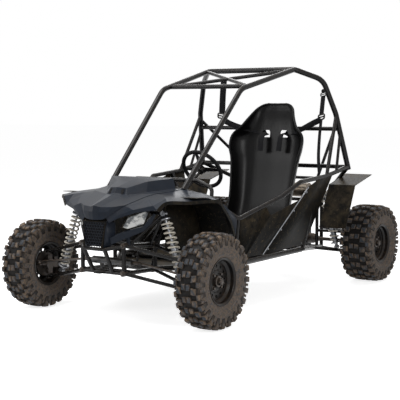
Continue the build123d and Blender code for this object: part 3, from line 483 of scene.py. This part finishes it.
def rimShape(width, dish):
    # deep dish of pressed steel: barrel, disc with round holes, and the centre's raised ring
    half, seat = width * 0.42, wheel["rim"]
    flare = [(half, seat + 11), (half - 1.5, seat + 13), (half - 5, seat + 12.5), (half - 7, seat + 2),
             (half - 30, seat), (half - 40, seat - 11)]
    barrel = flare + [(-x, r) for x, r in reversed(flare)]
    barrel += [(-half + 4, seat - 2), (-half + 30, seat - 4), (-half + 40, seat - 15), (half - 40, seat - 15),
               (half - 30, seat - 4), (half - 9, seat - 3), (half - 4, seat + 1)]
    outerEdge, innerEdge, depth = seat - 14.5, 66, wheel["discThickness"]
    hr, circle, spread = wheel["holeRadius"], wheel["holeCircle"], pi / wheel["holes"]
    sectors = []
    for i in range(wheel["holes"]):
        middle = 2 * pi * i / wheel["holes"]
        ring, hole = [], []
        for k in range(16):
            turn = 2 * pi * k / 16 + pi / 16
            dx, dy = cos(turn), sin(turn)
            grow = 1 / max(abs(dx), abs(dy))
            radius = (outerEdge + innerEdge) / 2 + dx * grow * (outerEdge - innerEdge) / 2
            angle = middle + dy * grow * spread
            ring.append((radius * cos(angle), radius * sin(angle)))
            hole.append((circle * cos(middle) + hr * (dx * cos(middle) - dy * sin(middle)),
                         circle * sin(middle) + hr * (dx * sin(middle) + dy * cos(middle))))
        points = [Vector((x, a, b)) for x, loop in ((0, ring), (0, hole), (-depth, hole), (-depth, ring))
                  for a, b in loop]
        sectors.append((points, bands(16, 4)))
    centre = lathed([(-depth, innerEdge), (0, innerEdge), (3, innerEdge - 5), (3, 36), (0, 31),
                     (-depth - dish, 31), (-depth - dish, 40), (-depth, 44)], 48, closed=True)
    steps = lathed([(-depth, outerEdge - 6), (6, outerEdge - 4), (10, outerEdge + 1), (4, outerEdge + 1)],
                   72, closed=True)
    disc = moved(joined(*sectors, centre, steps), Matrix.Translation((dish, 0, 0)))
    rim = joined(lathed(barrel, 72, closed=True), disc)
    nut = hexHead((3 + dish, 0, 0), (1, 0, 0), 19, 12)
    return rim, joined(*ringOf(nut, wheel["nuts"], (0, wheel["nutCircle"], 0), 0.5))


def hubCapShape():
    # castle nut and dust cap in the middle of the wheel
    collar = lathed([(0, 34), (16, 33), (18, 30), (18, 24)], 40)
    nut = lathed([(18, 23), (33, 23), (36, 20)], 6)
    teeth = ringOf(block((0, -4, 15), (5, 4, 21)), 6, (34, 0, 0))
    stub = lathed([(34, 13), (39, 12), (40, 9)], 24)
    return joined(collar, nut, stub, *teeth)


for end, axleY in wheel["axles"].items():
    width = wheel["widths"][end]
    dish = wheel["dishes"][end]
    rim, nuts = rimShape(width, dish)
    for number, side in enumerate(("left", "right")):
        sign = 1 - 2 * number
        spot = Matrix.Translation((sign * wheel["track"] / 2, axleY, wheel["height"]))
        spot = spot @ Matrix.Rotation(pi * number, 4, "Z")
        body, tail = f"wheel_{end}_{side}", end.capitalize() + side.capitalize()
        tyre, earth = tyreShape(width, 7 + number + 2 * (end == "rear"))
        makePiece("tyre" + tail, moved(tyre, spot), "tyre_rubber", body, sharp=48, layers=earth,
                  replaces=f"tyre_{end}_{side}")
        makePiece("rim" + tail, moved(rim, spot), "rim_steel", body, bevel=0.8, sharp=34,
                  replaces=f"rim_{end}_{side}")
        trim = joined(nuts, moved(hubCapShape(), Matrix.Translation((3 + dish, 0, 0))))
        makePiece("hubNuts" + tail, moved(trim, spot), "axle_steel", body, bevel=0.6)
print("wheels made")


# Coil-over dampers: lower and upper eye on the left side
damper = dict(places=dict(front=((468, -1072, 250), (322, -1072, 650)),
                          rear=((425, 985, 240), (290, 960, 745))),
              wire=5.3, coil=30.2, turns=11.5, flat=0.28, seat=40, neck=0.52)


def damperShapes(low, high):
    low, high = Vector(low), Vector(high)
    length = (high - low).length
    spot = along(low, high - low)
    lowSeat, highSeat = damper["seat"], length - damper["seat"]
    neck = length * damper["neck"]  # where the body ends and the rod comes out
    body = lathed([(8, 10), (20, 13), (28, 14), (28, 34), (31, 36), (36, 36), (38, 33), (38, 22), (60, 22),
                   (60, 20.5), (neck, 20.5), (neck + 3, 18), (neck + 3, 7), (length - 42, 7),
                   (length - 42, 30), (length - 40, 34), (length - 34, 34), (length - 30, 24),
                   (length - 14, 16), (length - 8, 12)], 32)
    threads = [lathed([(62 + 5 * i, 20), (63 + 5 * i, 22.3), (65 + 5 * i, 22.3), (66 + 5 * i, 20)], 28)
               for i in range(14)]
    bumper = lathed([(neck + 8, 12), (neck + 12, 14), (neck + 30, 13), (neck + 34, 9)], 20)
    sleeves = [moved(lathed([(-17, 11), (-17, 14), (17, 14), (17, 11)], 24, closed=True),
                     along(eye, (0, 1, 0))) for eye in (low, high)]
    sleeves += [hexHead(eye + Vector((0, s * 17, 0)), (0, s, 0), 15, 7)
                for eye in (low, high) for s in (-1, 1)]
    steps = 30
    coil = []
    total = int(damper["turns"] * steps)
    for i in range(total + 1):
        turn = i / steps
        ends = min(turn, damper["turns"] - turn, 1.0)
        # the last turn at each end lies flat against its seat
        flat = damper["flat"] * (1 - ends) * (1 if turn < damper["turns"] / 2 else -1)
        share = (turn + flat) / damper["turns"]
        x = lowSeat + damper["wire"] + (highSeat - lowSeat - 2 * damper["wire"]) * min(1, max(0, share))
        angle = -2 * pi * turn
        coil.append(spot @ polar(x, damper["coil"], angle))
    spring = swept(coil, roundOutline(damper["wire"], 8), up=high - low)
    return joined(moved(joined(body, *threads, bumper), spot), *sleeves), spring


bodies, springs = zip(*(damperShapes(*place) for place in damper["places"].values()))
makePiece("damperBodies", bothSides(joined(*bodies)), "damper_alloy", sharp=30, replaces="dampers")
makePiece("coilSprings", bothSides(joined(*springs)), "spring_paint", sharp=60, replaces="springs")
print("dampers made")


# Bucket seat: spine point (y, z), lean, half width of the flat back, half width and depth of the wing
seat = dict(middle=110, thickness=6, bead=8, slotPlace=(540, 1082), slotAcross=74, slotHalf=31, slotFoot=26,
            slotKnee=8, slotBow=24, slotDepth=130)
seat["stations"] = [
    (641, 1294, 12, 52, 70, 8),
    (640, 1286, 12, 78, 104, 14),
    (637, 1268, 12, 96, 132, 26),
    (632, 1240, 12, 112, 156, 44),
    (618, 1180, 12, 128, 186, 78),
    (606, 1110, 14, 150, 225, 105),
    (596, 1040, 14, 182, 288, 122),
    (578, 950, 14, 186, 292, 132),
    (560, 860, 14, 180, 268, 128),
    (505, 640, 18, 176, 246, 124),
    (472, 530, 28, 176, 244, 128),
    (430, 452, 48, 178, 244, 132),
    (330, 392, 78, 180, 242, 134),
    (190, 384, 90, 180, 240, 126),
    (66, 400, 98, 178, 232, 104),
    (40, 396, 120, 174, 222, 70),
]


def seatRow(station):
    # from the right wing's edge to the left one's, with a rounded corner between back and wing
    y, z, lean, back, wing, depth = station
    lean = radians(lean)
    half = [(0, -3), (back * 0.45, 0), (back * 0.82, 0.01 * depth), (back, 0.05 * depth),
            (back + (wing - back) * 0.35, depth * 0.17), (back + (wing - back) * 0.72, depth * 0.45),
            (back + (wing - back) * 0.92, depth * 0.75), (wing, depth)]
    section = [(-x, d) for x, d in reversed(half[1:])] + half
    return [Vector((seat["middle"] + x, y - d * cos(lean), z + d * sin(lean))) for x, d in section]


def applyModifiers(piece):
    piece.data = bpy.data.meshes.new_from_object(piece.evaluated_get(bpy.context.evaluated_depsgraph_get()))
    piece.modifiers.clear()


def makeSeat():
    columns = list(zip(*[seatRow(station) for station in seat["stations"]]))
    rows = list(zip(*[smoothLine(column, 4) for column in columns]))
    shell = makePiece("seatShell", surface(rows), "seat_plastic", replaces="seat")
    thicken(shell, seat["thickness"], 1.0)
    smooth = shell.modifiers.new("smooth", "SUBSURF")
    smooth.levels = smooth.render_levels = 1
    cutters = []
    for across in (-seat["slotAcross"], seat["slotAcross"]):
        # arch-shaped slot for a shoulder belt
        w, foot, knee = seat["slotHalf"], -seat["slotFoot"], seat["slotKnee"]
        bow = [(w * cos(pi * k / 12), knee + seat["slotBow"] * sin(pi * k / 12)) for k in range(1, 12)]
        arch = [(-w, foot), (w, foot), (w, knee)] + bow + [(-w, knee)]
        matrix = Matrix.Translation((seat["middle"] + across, *seat["slotPlace"]))
        cutter = newObject("slotCutter", newMesh("slotCutter", plate(
            arch, seat["slotDepth"], matrix @ Matrix.Rotation(pi / 2, 4, "X"))))
        cut = shell.modifiers.new("slot", "BOOLEAN")
        cut.object, cut.operation, cut.solver = cutter, "DIFFERENCE", "EXACT"
        cutters.append(cutter)
    applyModifiers(shell)
    for cutter in cutters:
        bpy.data.objects.remove(cutter)
    shadeSmooth(shell.data, 40)
    # rolled edge all round
    rim = [*rows[0], *(row[-1] for row in rows[1:]), *rows[-1][-2::-1], *(row[0] for row in rows[-2:0:-1])]
    bead = swept(rim, roundOutline(seat["bead"], 12), loop=True)
    makePiece("seatEdge", bead, "seat_plastic", sharp=70)


makeSeat()
print("seat made")


# Belts: each path goes through its points, across is the direction of the belt's width
beltThickness = 2.6
belts = dict(
    hoopLeft=dict(path=[(503, 590, 1350), (502, 580, 1290), (501, 569, 1222)], across=(1, -0.35, 0.2),
                  width=46),
    shoulderLeft=dict(path=[(500, 566, 1186), (455, 560, 1166), (380, 566, 1132), (290, 590, 1100),
                            (215, 618, 1086), (184, 612, 1084), (184, 575, 1082), (188, 540, 1050),
                            (186, 520, 960)], across=(0.5, -0.1, 0.9), width=42, lastAcross=(1, 0, 0)),
    tailLeft=dict(path=[(500, 566, 1180), (512, 520, 1060), (540, 455, 930), (578, 396, 822)],
                  across=(1, -0.6, 0.1), width=38),
    hoopRight=dict(path=[(-262, 500, 1490), (-266, 490, 1380), (-268, 481, 1225)], across=(1, 0.35, -0.2),
                   width=46),
    shoulderRight=dict(path=[(-266, 478, 1190), (-220, 490, 1160), (-150, 530, 1130), (-60, 590, 1104),
                             (10, 618, 1088), (36, 612, 1084), (36, 575, 1082), (32, 540, 1050),
                             (36, 520, 960)], across=(0.5, 0.1, -0.9), width=42, lastAcross=(1, 0, 0)),
)


def ribbon(path, across, width, lastAcross=None):
    # a flat woven belt: the width turns smoothly from its first direction to its last
    line = smoothLine(path, 6)
    first, last = Vector(across).normalized(), Vector(lastAcross or across).normalized()
    if first.dot(last) < 0:
        first = -first
    points = []
    half, thick = width / 2, beltThickness / 2
    outline = [(-half, 0), (-half + 1.2, thick), (half - 1.2, thick),
               (half, 0), (half - 1.2, -thick), (-half + 1.2, -thick)]
    for i, p in enumerate(line):
        way = (line[min(i + 1, len(line) - 1)] - line[max(i - 1, 0)]).normalized()
        side = first.lerp(last, i / (len(line) - 1))
        side = (side - way * side.dot(way)).normalized()
        lift = side.cross(way)
        points += [p + side * a + lift * b for a, b in outline]
    return skinned(points, len(outline))


def buckleFrame(centre, across, down, width, height, wire):
    # a bent wire or pressed frame with rounded corners and a bar across
    across, down = Vector(across).normalized(), Vector(down).normalized()
    w, h, r = width / 2, height / 2, 6
    corner = [(w - r, -h), (w, -h + r), (w, h - r), (w - r, h),
              (-w + r, h), (-w, h - r), (-w, -h + r), (-w + r, -h)]
    line = [Vector(centre) + across * a + down * b for a, b in corner]
    return joined(swept(line, roundOutline(wire, 8), up=across.cross(down), loop=True),
                  bar(Vector(centre) - across * w, Vector(centre) + across * w, wire * 0.9, 10))


webs = [ribbon(b["path"], b["across"], b["width"], b.get("lastAcross")) for b in belts.values()]
makePiece("harnessWebbing", joined(*webs), "webbing", sharp=50, replaces="harness")
buckles = [
    buckleFrame((503, 592, 1362), (1, -0.35, 0.2), (0, 0, 1), 54, 24, 4.2),
    buckleFrame((501, 568, 1204), (1, -0.35, 0.2), (0, 0.1, 1), 60, 34, 6.0),
    buckleFrame((-268, 480, 1208), (1, 0.35, -0.2), (0, 0.1, 1), 60, 34, 6.0),
    moved(lathed([(0, 15), (5, 15), (7, 12)], 20), along((505, 590, 1385), (0.1, -1, -0.2))),
    bar((504, 592, 1384), (520, 606, 1390), 7),
    hexHead((504, 588, 1385), (0.1, -1, -0.2), 15, 7),
]
makePiece("harnessBuckles", joined(*buckles), "frame_paint", sharp=45)
print("harness made")


# Creases of the formed panels: width in millimetres, and the least angle that gets one
panelCrease = dict(width=4, angle=7)
# Hood, left half of the net: from the middle to the seam, from nose to dash
hood = dict(thickness=4, mouth=[(-50, -1098, 784), (50, -1098, 784), (56, -1118, 753), (-56, -1118, 753)])
hood["rows"] = [
    [(0, -1326, 616), (28, -1324, 617), (60, -1316, 620), (84, -1304, 630)],
    [(0, -1332, 664), (36, -1322, 662), (88, -1302, 664), (124, -1270, 668)],
    [(0, -1324, 698), (34, -1306, 688), (104, -1280, 690), (168, -1238, 700)],
    [(0, -1120, 757), (66, -1110, 748), (110, -1120, 738), (205, -1085, 742)],
    [(0, -1100, 790), (60, -1084, 786), (78, -1104, 746), (232, -1030, 756)],
    [(0, -950, 826), (118, -950, 820), (150, -1010, 758), (258, -950, 760)],
    [(0, -850, 838), (236, -852, 838), (252, -852, 776), (290, -830, 774)],
]
# Front fender: from the hood's seam or the side rail to the arch, from nose to cockpit
fender = dict(thickness=4, lap=7, flange=16, rows=[
    [(90, -1306, 613), (94, -1306, 606), (98, -1304, 600)],
    [(136, -1276, 654), (142, -1284, 640), (146, -1288, 626)],
    [(196, -1238, 688), (222, -1238, 676), (232, -1232, 660)],
    [(262, -1130, 724), (318, -1170, 700), (344, -1170, 676)],
    [(300, -1040, 742), (348, -1088, 734), (391, -1137, 722)],
    [(350, -960, 750), (430, -998, 738), (480, -1032, 720)],
    [(390, -800, 748), (470, -800, 734), (528, -820, 716)],
    [(360, -690, 738), (430, -690, 716), (486, -720, 690), (532, -742, 660)],
    [(430, -590, 668), (468, -600, 640), (502, -632, 610), (534, -668, 576)],
    [(468, -530, 600), (494, -540, 572), (516, -580, 530), (534, -622, 486)],
])
for hoodRow, row in zip(hood["rows"], fender["rows"]):
    x, y, z = hoodRow[-1]
    row.insert(0, (x - fender["lap"], y, z - 2))


def panelPiece(name, shape, thickness, node):
    # the net as a formed sheet: flat facets with a small radius along every crease
    piece = makePiece(name, shape, "hood_plastic", sharp=180, replaces=node)
    thicken(piece, thickness, 1.0)
    crease = piece.modifiers.new("crease", "BEVEL")
    crease.width, crease.segments = panelCrease["width"] * 0.001, 1
    crease.limit_method, crease.angle_limit = "ANGLE", radians(panelCrease["angle"])
    crease.harden_normals = True


hoodRows = [[(-x, y, z) for x, y, z in reversed(row) if x > 0] + row for row in hood["rows"]]
panelPiece("hoodPanel", surface(hoodRows), hood["thickness"], "hood")
panelPiece("frontFenders", bothSides(surface(fender["rows"])), fender["thickness"], "front_fenders")
# a dark slab in the mouth of the scoop, just ahead of the bulge's front: painted shade of the opening
mouth = hood["mouth"]
makePiece("scoopMouthShade", skinned(mouth + [(x, y + 3, z) for x, y, z in mouth], 4), "grip_rubber")
# turned-down flange along the arch of each fender
edge = smoothLine([Vector(row[-1]) + Vector((1.5, 0, 2)) for row in fender["rows"][3:]], 5)
flange = swept(edge, [(-2, 2), (2, 3), (3.2, -fender["flange"]), (0, -fender["flange"] - 1)], up=(0, 0, 1))
makePiece("fenderFlanges", bothSides(flange), "panel_plastic", sharp=40)

# Side panels: two plates that meet in a seam from the sill up to the rail, with a bright strip along the seam
# that is a painted highlight on the crease
side = dict(thickness=3, seam=[(486, -213, 322), (618, 162, 742)],
            front=[(471, -462, 566), (526, -235, 635), (556, -230, 581), (592, 76, 657)],
            frontFoot=(464, -470, 322), rear=[(621, 300, 783), (624, 500, 804)], rearFoot=(466, 400, 322),
            seamStuds=(0.08, 0.36, 0.64, 0.92), sillStuds=[(470, -440), (478, -250), (482, -60), (472, 340)])
foot, head = Vector(side["seam"][0]), Vector(side["seam"][1])
frontTop = [Vector(p) for p in side["front"]] + [head]
frontRows = [[Vector(side["frontFoot"]).lerp(foot, k / 4), top] for k, top in enumerate(frontTop)]
rearRows = [[foot.lerp(Vector(side["rearFoot"]), k / 2), top] for k, top in enumerate([head] + side["rear"])]
sheets = joined(surface(frontRows), surface(rearRows))
panels = makePiece("sidePanels", bothSides(sheets), "panel_plastic", sharp=180, replaces="side_panels")
thicken(panels, side["thickness"])
# painted highlight: a bright metal strip along the seam
seamHighlightStrip = swept([foot + Vector((3, 0, 0)), head + Vector((3, 0, 0))], [(-4, -2), (4, -2), (4, 2), (-4, 2)],
              up=(1, 0, 0))
studs = [hexHead(foot.lerp(head, t) + Vector((4, 18, 0)), (1, -0.1, 0.3), 11, 4) for t in side["seamStuds"]]
studs += [hexHead(Vector((x, y, 340)), (1, 0, 0.2), 11, 4) for x, y in side["sillStuds"]]
makePiece("panelSeams", bothSides(joined(seamHighlightStrip, *studs)), "damper_alloy", sharp=40)

# Main hoop, bent in a wide curve at each shoulder
hoop = dict(radius=19, corners=[(622, 757, 832), (572, 650, 1225), (500, 590, 1462), (359, 434, 1533)],
            bends=[160, 120, 55])
corners = [Vector(p) for p in hoop["corners"]]
corners += [Vector((-p.x, p.y, p.z)) for p in reversed(corners)]
bends = hoop["bends"] + hoop["bends"][::-1]
hoopLine = [corners[0]]
for a, b, c, radius in zip(corners, corners[1:], corners[2:], bends):
    u, v = (a - b).normalized(), (c - b).normalized()
    reach = radius / tan(u.angle(v) / 2)
    first, last = b + u * reach, b + v * reach
    hoopLine += [first.lerp(b, k / 8).lerp(b.lerp(last, k / 8), k / 8) for k in range(9)]
hoopLine.append(corners[-1])
makePiece("mainHoopTube", swept(hoopLine, roundOutline(hoop["radius"], 20), up=(0, 0.2, 1)), "frame_paint",
          sharp=60, replaces="main_hoop")
print("panels made")


# Headlamp: the lens stands on the same slanted plane as its housing
lamp = dict(place=(205, -1188, 612), across=(0.72, 0.69, 0.0), outwards=(0.69, -0.72, 0.0),
            outline=[(-88, -44), (-52, 22), (62, 60), (84, 50), (52, -26), (-58, -56)],
            lensShare=0.88, lensThickness=8, proud=5, bezelShare=0.86, bezelThickness=5, bezelProud=3)


def planeAt(place, across, outwards):
    x, z = Vector(across).normalized(), Vector(outwards).normalized()
    y = z.cross(x)
    rotation = Matrix((x, y, z)).transposed().to_4x4()
    return Matrix.Translation(Vector(place)) @ rotation


def shrunk(outline, share):
    cx = sum(p[0] for p in outline) / len(outline)
    cy = sum(p[1] for p in outline) / len(outline)
    return [(cx + (x - cx) * share, cy + (y - cy) * share) for x, y in outline]


lampPlane = planeAt(lamp["place"], lamp["across"], lamp["outwards"])
lens = plate(shrunk(lamp["outline"], lamp["lensShare"]), lamp["lensThickness"],
             lampPlane @ Matrix.Translation((0, 0, lamp["proud"])))
bezel = []
outerRing, innerRing = lamp["outline"], shrunk(lamp["outline"], lamp["bezelShare"])
for corner in zip(outerRing, outerRing[1:] + outerRing[:1], innerRing[1:] + innerRing[:1], innerRing):
    bezelPlane = lampPlane @ Matrix.Translation((0, 0, lamp["bezelProud"]))
    bezel.append(plate(corner, lamp["bezelThickness"], bezelPlane))
# the lens's pale colour is a painted reflection of the reflector behind it
makePiece("lampLenses", bothSides(lens), "lamp_glass", bevel=3.0)
makePiece("lampBezels", bothSides(joined(*bezel)), "panel_plastic", bevel=0.8)
giveFinish(nodes["headlamps"], "panel_plastic")

# rounded edges on cast and folded solids, widths in millimetres
for nodeName, width in dict(lamp_blades=2.5, engine=2.0, final_drive=4.0, knuckle_left=1.5, knuckle_right=1.5,
                            seat_mounts=0.8, pedals=1.0, rear_uprights=1.5).items():
    roundEdges(nodes[nodeName], width)

# Side pieces of the nose: a moulding down each side of the grille
nose = dict(high=[(78, -1318, 604), (84, -1300, 612), (112, -1262, 600)], thickness=4, bulge=(2, -6, 0),
            low=[(72, -1322, 448), (88, -1290, 448), (108, -1262, 500)])
noseHigh, noseLow = [Vector(p) for p in nose["high"]], [Vector(p) for p in nose["low"]]
noseMiddle = [a.lerp(b, 0.5) for a, b in zip(noseHigh, noseLow)]
noseMiddle[1] += Vector(nose["bulge"])
noseSides = makePiece("noseSides", bothSides(surface([noseHigh, noseMiddle, noseLow])), "hood_plastic",
                      sharp=30)
thicken(noseSides, nose["thickness"])

# Grille: a dark plate behind it that paints the shade inside the nose, hexagonal wire mesh and a square frame
grille = dict(low=(0, -1336, 452), high=(0, -1318, 606), halfLow=66, halfHigh=82, cell=19, wire=4.4, frame=5,
              sideGap=8, endGap=6, shadePlate=[(-74, 0), (74, 0), (86, 150), (-86, 150)],
              shadePlateFoot=(0, -1296, 456))
# painted shade: a dark plate seen through the grille's holes
shadePlate = plate(grille["shadePlate"], 2, planeAt(grille["shadePlateFoot"], (1, 0, 0), (0, -1, -0.12)))
makePiece("grilleShadePlate", shadePlate, "grip_rubber", bevel=0.5)
low, high = Vector(grille["low"]), Vector(grille["high"])
tall = (high - low).length
grillePlane = planeAt((low + high) / 2, (1, 0, 0), (0, -(high - low).z, (high - low).y))
reachOfCell = grille["cell"] / 3 ** 0.5
points, faces, known = [], [], {}
for column in range(-5, 6):
    for row in range(-7, 8):
        # a hexagon with flat sides left and right
        cx, cy = grille["cell"] * (column + 0.5 * (row % 2)), grille["cell"] * 0.866 * row
        reach = grille["halfLow"] + (grille["halfHigh"] - grille["halfLow"]) * (cy / tall + 0.5)
        if abs(cx) > reach - grille["sideGap"] or abs(cy) > tall / 2 - grille["endGap"]:
            continue
        face = []
        for k in range(6):
            turn = pi / 3 * k + pi / 6
            p = (cx + reachOfCell * cos(turn), cy + reachOfCell * sin(turn))
            key = (round(p[0]), round(p[1]))
            if key not in known:
                known[key] = len(points)
                points.append(grillePlane @ Vector((*p, -4)))
            face.append(known[key])
        faces.append(tuple(face))
mesh = makePiece("grilleMesh", (points, faces), "hood_plastic", sharp=30, replaces="grille")
wires = mesh.modifiers.new("wires", "WIREFRAME")
wires.thickness, wires.use_even_offset = grille["wire"] * 0.001, True
halfLow, halfHigh, f = grille["halfLow"], grille["halfHigh"], grille["frame"]
corners = [(-halfLow, -tall / 2), (halfLow, -tall / 2), (halfHigh, tall / 2), (-halfHigh, tall / 2)]
border = swept([grillePlane @ Vector((x, y, -f)) for x, y in corners],
               [(-f, -f), (f, -f), (f, f), (-f, f)], up=(0, 1, 0), loop=True)
makePiece("grilleFrame", border, "panel_plastic", bevel=1.5)

# Inner arch over each front wheel: the line is (y, z), and the flank closes it towards the damper
arch = dict(inner=296, outer=506, thickness=3, flankMiddle=(-1000, 500), flankEnd=(-1010, 420),
            line=[(-1010, 742), (-900, 736), (-810, 716), (-735, 668), (-680, 594), (-650, 500), (-640, 330)])
archLine = smoothLine([(0, y, z) for y, z in arch["line"]], 4)
archAcross = (arch["inner"], arch["inner"] + 8, arch["outer"] - 4, arch["outer"])
rows = [[(x, p.y, p.z) for x in archAcross] for p in archLine]
(middleY, middleZ), inner = arch["flankMiddle"], arch["inner"]
flank = [[(inner, p.y, p.z), (inner - 6, p.y * 0.6 + 0.4 * middleY, p.z * 0.5 + 0.5 * middleZ),
          (inner - 10, *arch["flankEnd"])] for p in archLine]
liner = makePiece("wheelArches", bothSides(joined(surface(rows), surface(flank))), "panel_plastic",
                  sharp=40, replaces="wheel_liners")
thicken(liner, arch["thickness"])

# Steering wheel: smooth grip, three pressed spokes, boss with its bolts, and the column
steer = dict(centre=(110, -350, 868), pinion=(110, -1107, 374), diameter=300, grip=26,
             spoke=[(20, -17), (128, -11), (128, 11), (20, 17)])
centre, pinion = Vector(steer["centre"]), Vector(steer["pinion"])
axis = (centre - pinion).normalized()
wheelSpot = along(centre, axis)
ring = [Vector((0, a, b)) for a, b in roundOutline((steer["diameter"] - steer["grip"]) / 2, 64)]
grip = swept(ring, roundOutline(steer["grip"] / 2, 16), up=(1, 0, 0), loop=True)
makePiece("steeringGrip", moved(grip, wheelSpot), "grip_rubber", "steering_wheel_body", sharp=80,
          replaces="steering_wheel")
metal = [lathed([(-30, 10), (-28, 22), (-4, 24), (-2, 30), (3, 30), (5, 27)], 32)]
# spokes point left, right and down in the wheel's own plane
for turn in (0, 90, 180):
    upright = Matrix(((0, 0, 1, 2), (1, 0, 0, 0), (0, 1, 0, 0), (0, 0, 0, 1)))
    metal.append(moved(plate(steer["spoke"], 4, upright), Matrix.Rotation(radians(turn), 4, "X")))
metal += ringOf(hexHead((4, 0, 0), (1, 0, 0), 9, 4), 6, (0, 20, 0))
metal.append(bar((-(centre - pinion).length + 20, 0, 0), (-20, 0, 0), 9))
makePiece("steeringColumn", moved(joined(*metal), wheelSpot), "frame_paint", "steering_wheel_body",
          bevel=0.6, sharp=35)
print("lamps and steering wheel made")

# Bolts and bushes where the arms meet the frame: points on the left side, half length and radii of a bush
fitting = dict(points=[(155, -1236, 465), (155, -945, 441), (155, -1236, 300), (155, -945, 290)],
               half=20, inner=12, outer=17, bolt=17)
half, inner, outer = fitting["half"], fitting["inner"], fitting["outer"]
bush = lathed([(-half, inner), (-half, outer), (half, outer), (half, inner)], 24, closed=True)
fittings = []
for point in fitting["points"]:
    fittings.append(moved(bush, along(point, (0, 1, 0))))
    fittings += [hexHead(Vector(point) + Vector((0, s * half, 0)), (0, s, 0), fitting["bolt"], 8)
                 for s in (-1, 1)]
makePiece("armFittings", bothSides(joined(*fittings)), "axle_steel", bevel=0.5)
print("fittings made")


# camera where the photograph was taken from: lens in millimetres, place in metres, angles in degrees
view = dict(lens=95.2, place=(3.927, -6.074, 1.256), tilt=85.11, turn=33.81)

camera = newObject("camera", bpy.data.cameras.new("camera"))
camera.data.lens = view["lens"]
camera.data.sensor_width = 36.0
camera.location = view["place"]
camera.rotation_euler = (radians(view["tilt"]), 0, radians(view["turn"]))
bpy.context.scene.camera = camera
bpy.context.scene.view_settings.view_transform = "Standard"

# floor: half its width in metres
floor = dict(half=60.0, colour="#e6e6e6", glow=0.8)
h = floor["half"]
floorMesh = bpy.data.meshes.new("floor")
floorMesh.from_pydata([(-h, -h, 0), (h, -h, 0), (h, h, 0), (-h, h, 0)], [], [(0, 1, 2, 3)])
floorObject = newObject("floor", floorMesh)


def backdropRays(tree):
    # 1 for the rays that see the backdrop itself: those of the camera, of gloss and of glass
    rays = addNode(tree, "LightPath")
    seen = addNode(tree, "Math", {"operation": "ADD"},
                   {0: rays.outputs["Is Camera Ray"], 1: rays.outputs["Is Glossy Ray"]})
    clear = addNode(tree, "Math", {"operation": "ADD", "use_clamp": True},
                    {0: seen, 1: rays.outputs["Is Transmission Ray"]})
    return clear.outputs[0]


def makeFloorPaper():
    # matt white paper sweep: white to the camera, but it still takes the shadow
    material = bpy.data.materials.new("paperSweep")
    tree = emptyTree(material)
    paper = addNode(tree, "BsdfDiffuse", {"Color": linearColour(floor["colour"])})
    glow = addNode(tree, "Emission", {"Color": (1, 1, 1, 1), "Strength": floor["glow"]})
    none = addNode(tree, "Emission", {"Strength": 0.0})
    lift = addNode(tree, "MixShader", {}, {0: backdropRays(tree), 1: none, 2: glow})
    both = addNode(tree, "AddShader", {}, {0: paper, 1: lift})
    addNode(tree, "OutputMaterial", {}, {"Surface": both})
    return material


floorMesh.materials.append(makeFloorPaper())

# strength of the white room as light on the vehicle, and as the backdrop that is seen
roomLight = dict(object=0.24, backdrop=1.0)
world = bpy.data.worlds.new("whiteRoom")
bpy.context.scene.world = world
tree = emptyTree(world)
white = (1, 1, 1, 1)
room = addNode(tree, "Background", {"Color": white, "Strength": roomLight["object"]})
backdrop = addNode(tree, "Background", {"Color": white, "Strength": roomLight["backdrop"]})
chosen = addNode(tree, "MixShader", {}, {0: backdropRays(tree), 1: room, 2: backdrop})
addNode(tree, "OutputWorld", {}, {"Surface": chosen})

# large soft lamps: place, aim and size in metres, power in watts
lamps = {
    "overhead": dict(place=(-0.6, -1.0, 4.6), aim=(0, 0, 0.6), size=2.6, power=150),
    "leftFront": dict(place=(4.6, -3.2, 2.6), aim=(0, -0.2, 0.7), size=1.6, power=85),
    "rightFront": dict(place=(-3.6, -4.4, 2.4), aim=(0, -0.2, 0.7), size=1.5, power=60),
    "behind": dict(place=(-2.4, 4.6, 3.0), aim=(0, 0.2, 0.8), size=2.4, power=60),
}
for name, light in lamps.items():
    data = bpy.data.lights.new(name, "AREA")
    data.size = light["size"]
    data.energy = light["power"]
    shine = newObject(name, data)
    shine.location = light["place"]
    aim = Vector(light["aim"]) - Vector(light["place"])
    shine.rotation_euler = aim.to_track_quat("-Z", "Y").to_euler()
print("camera and light set")
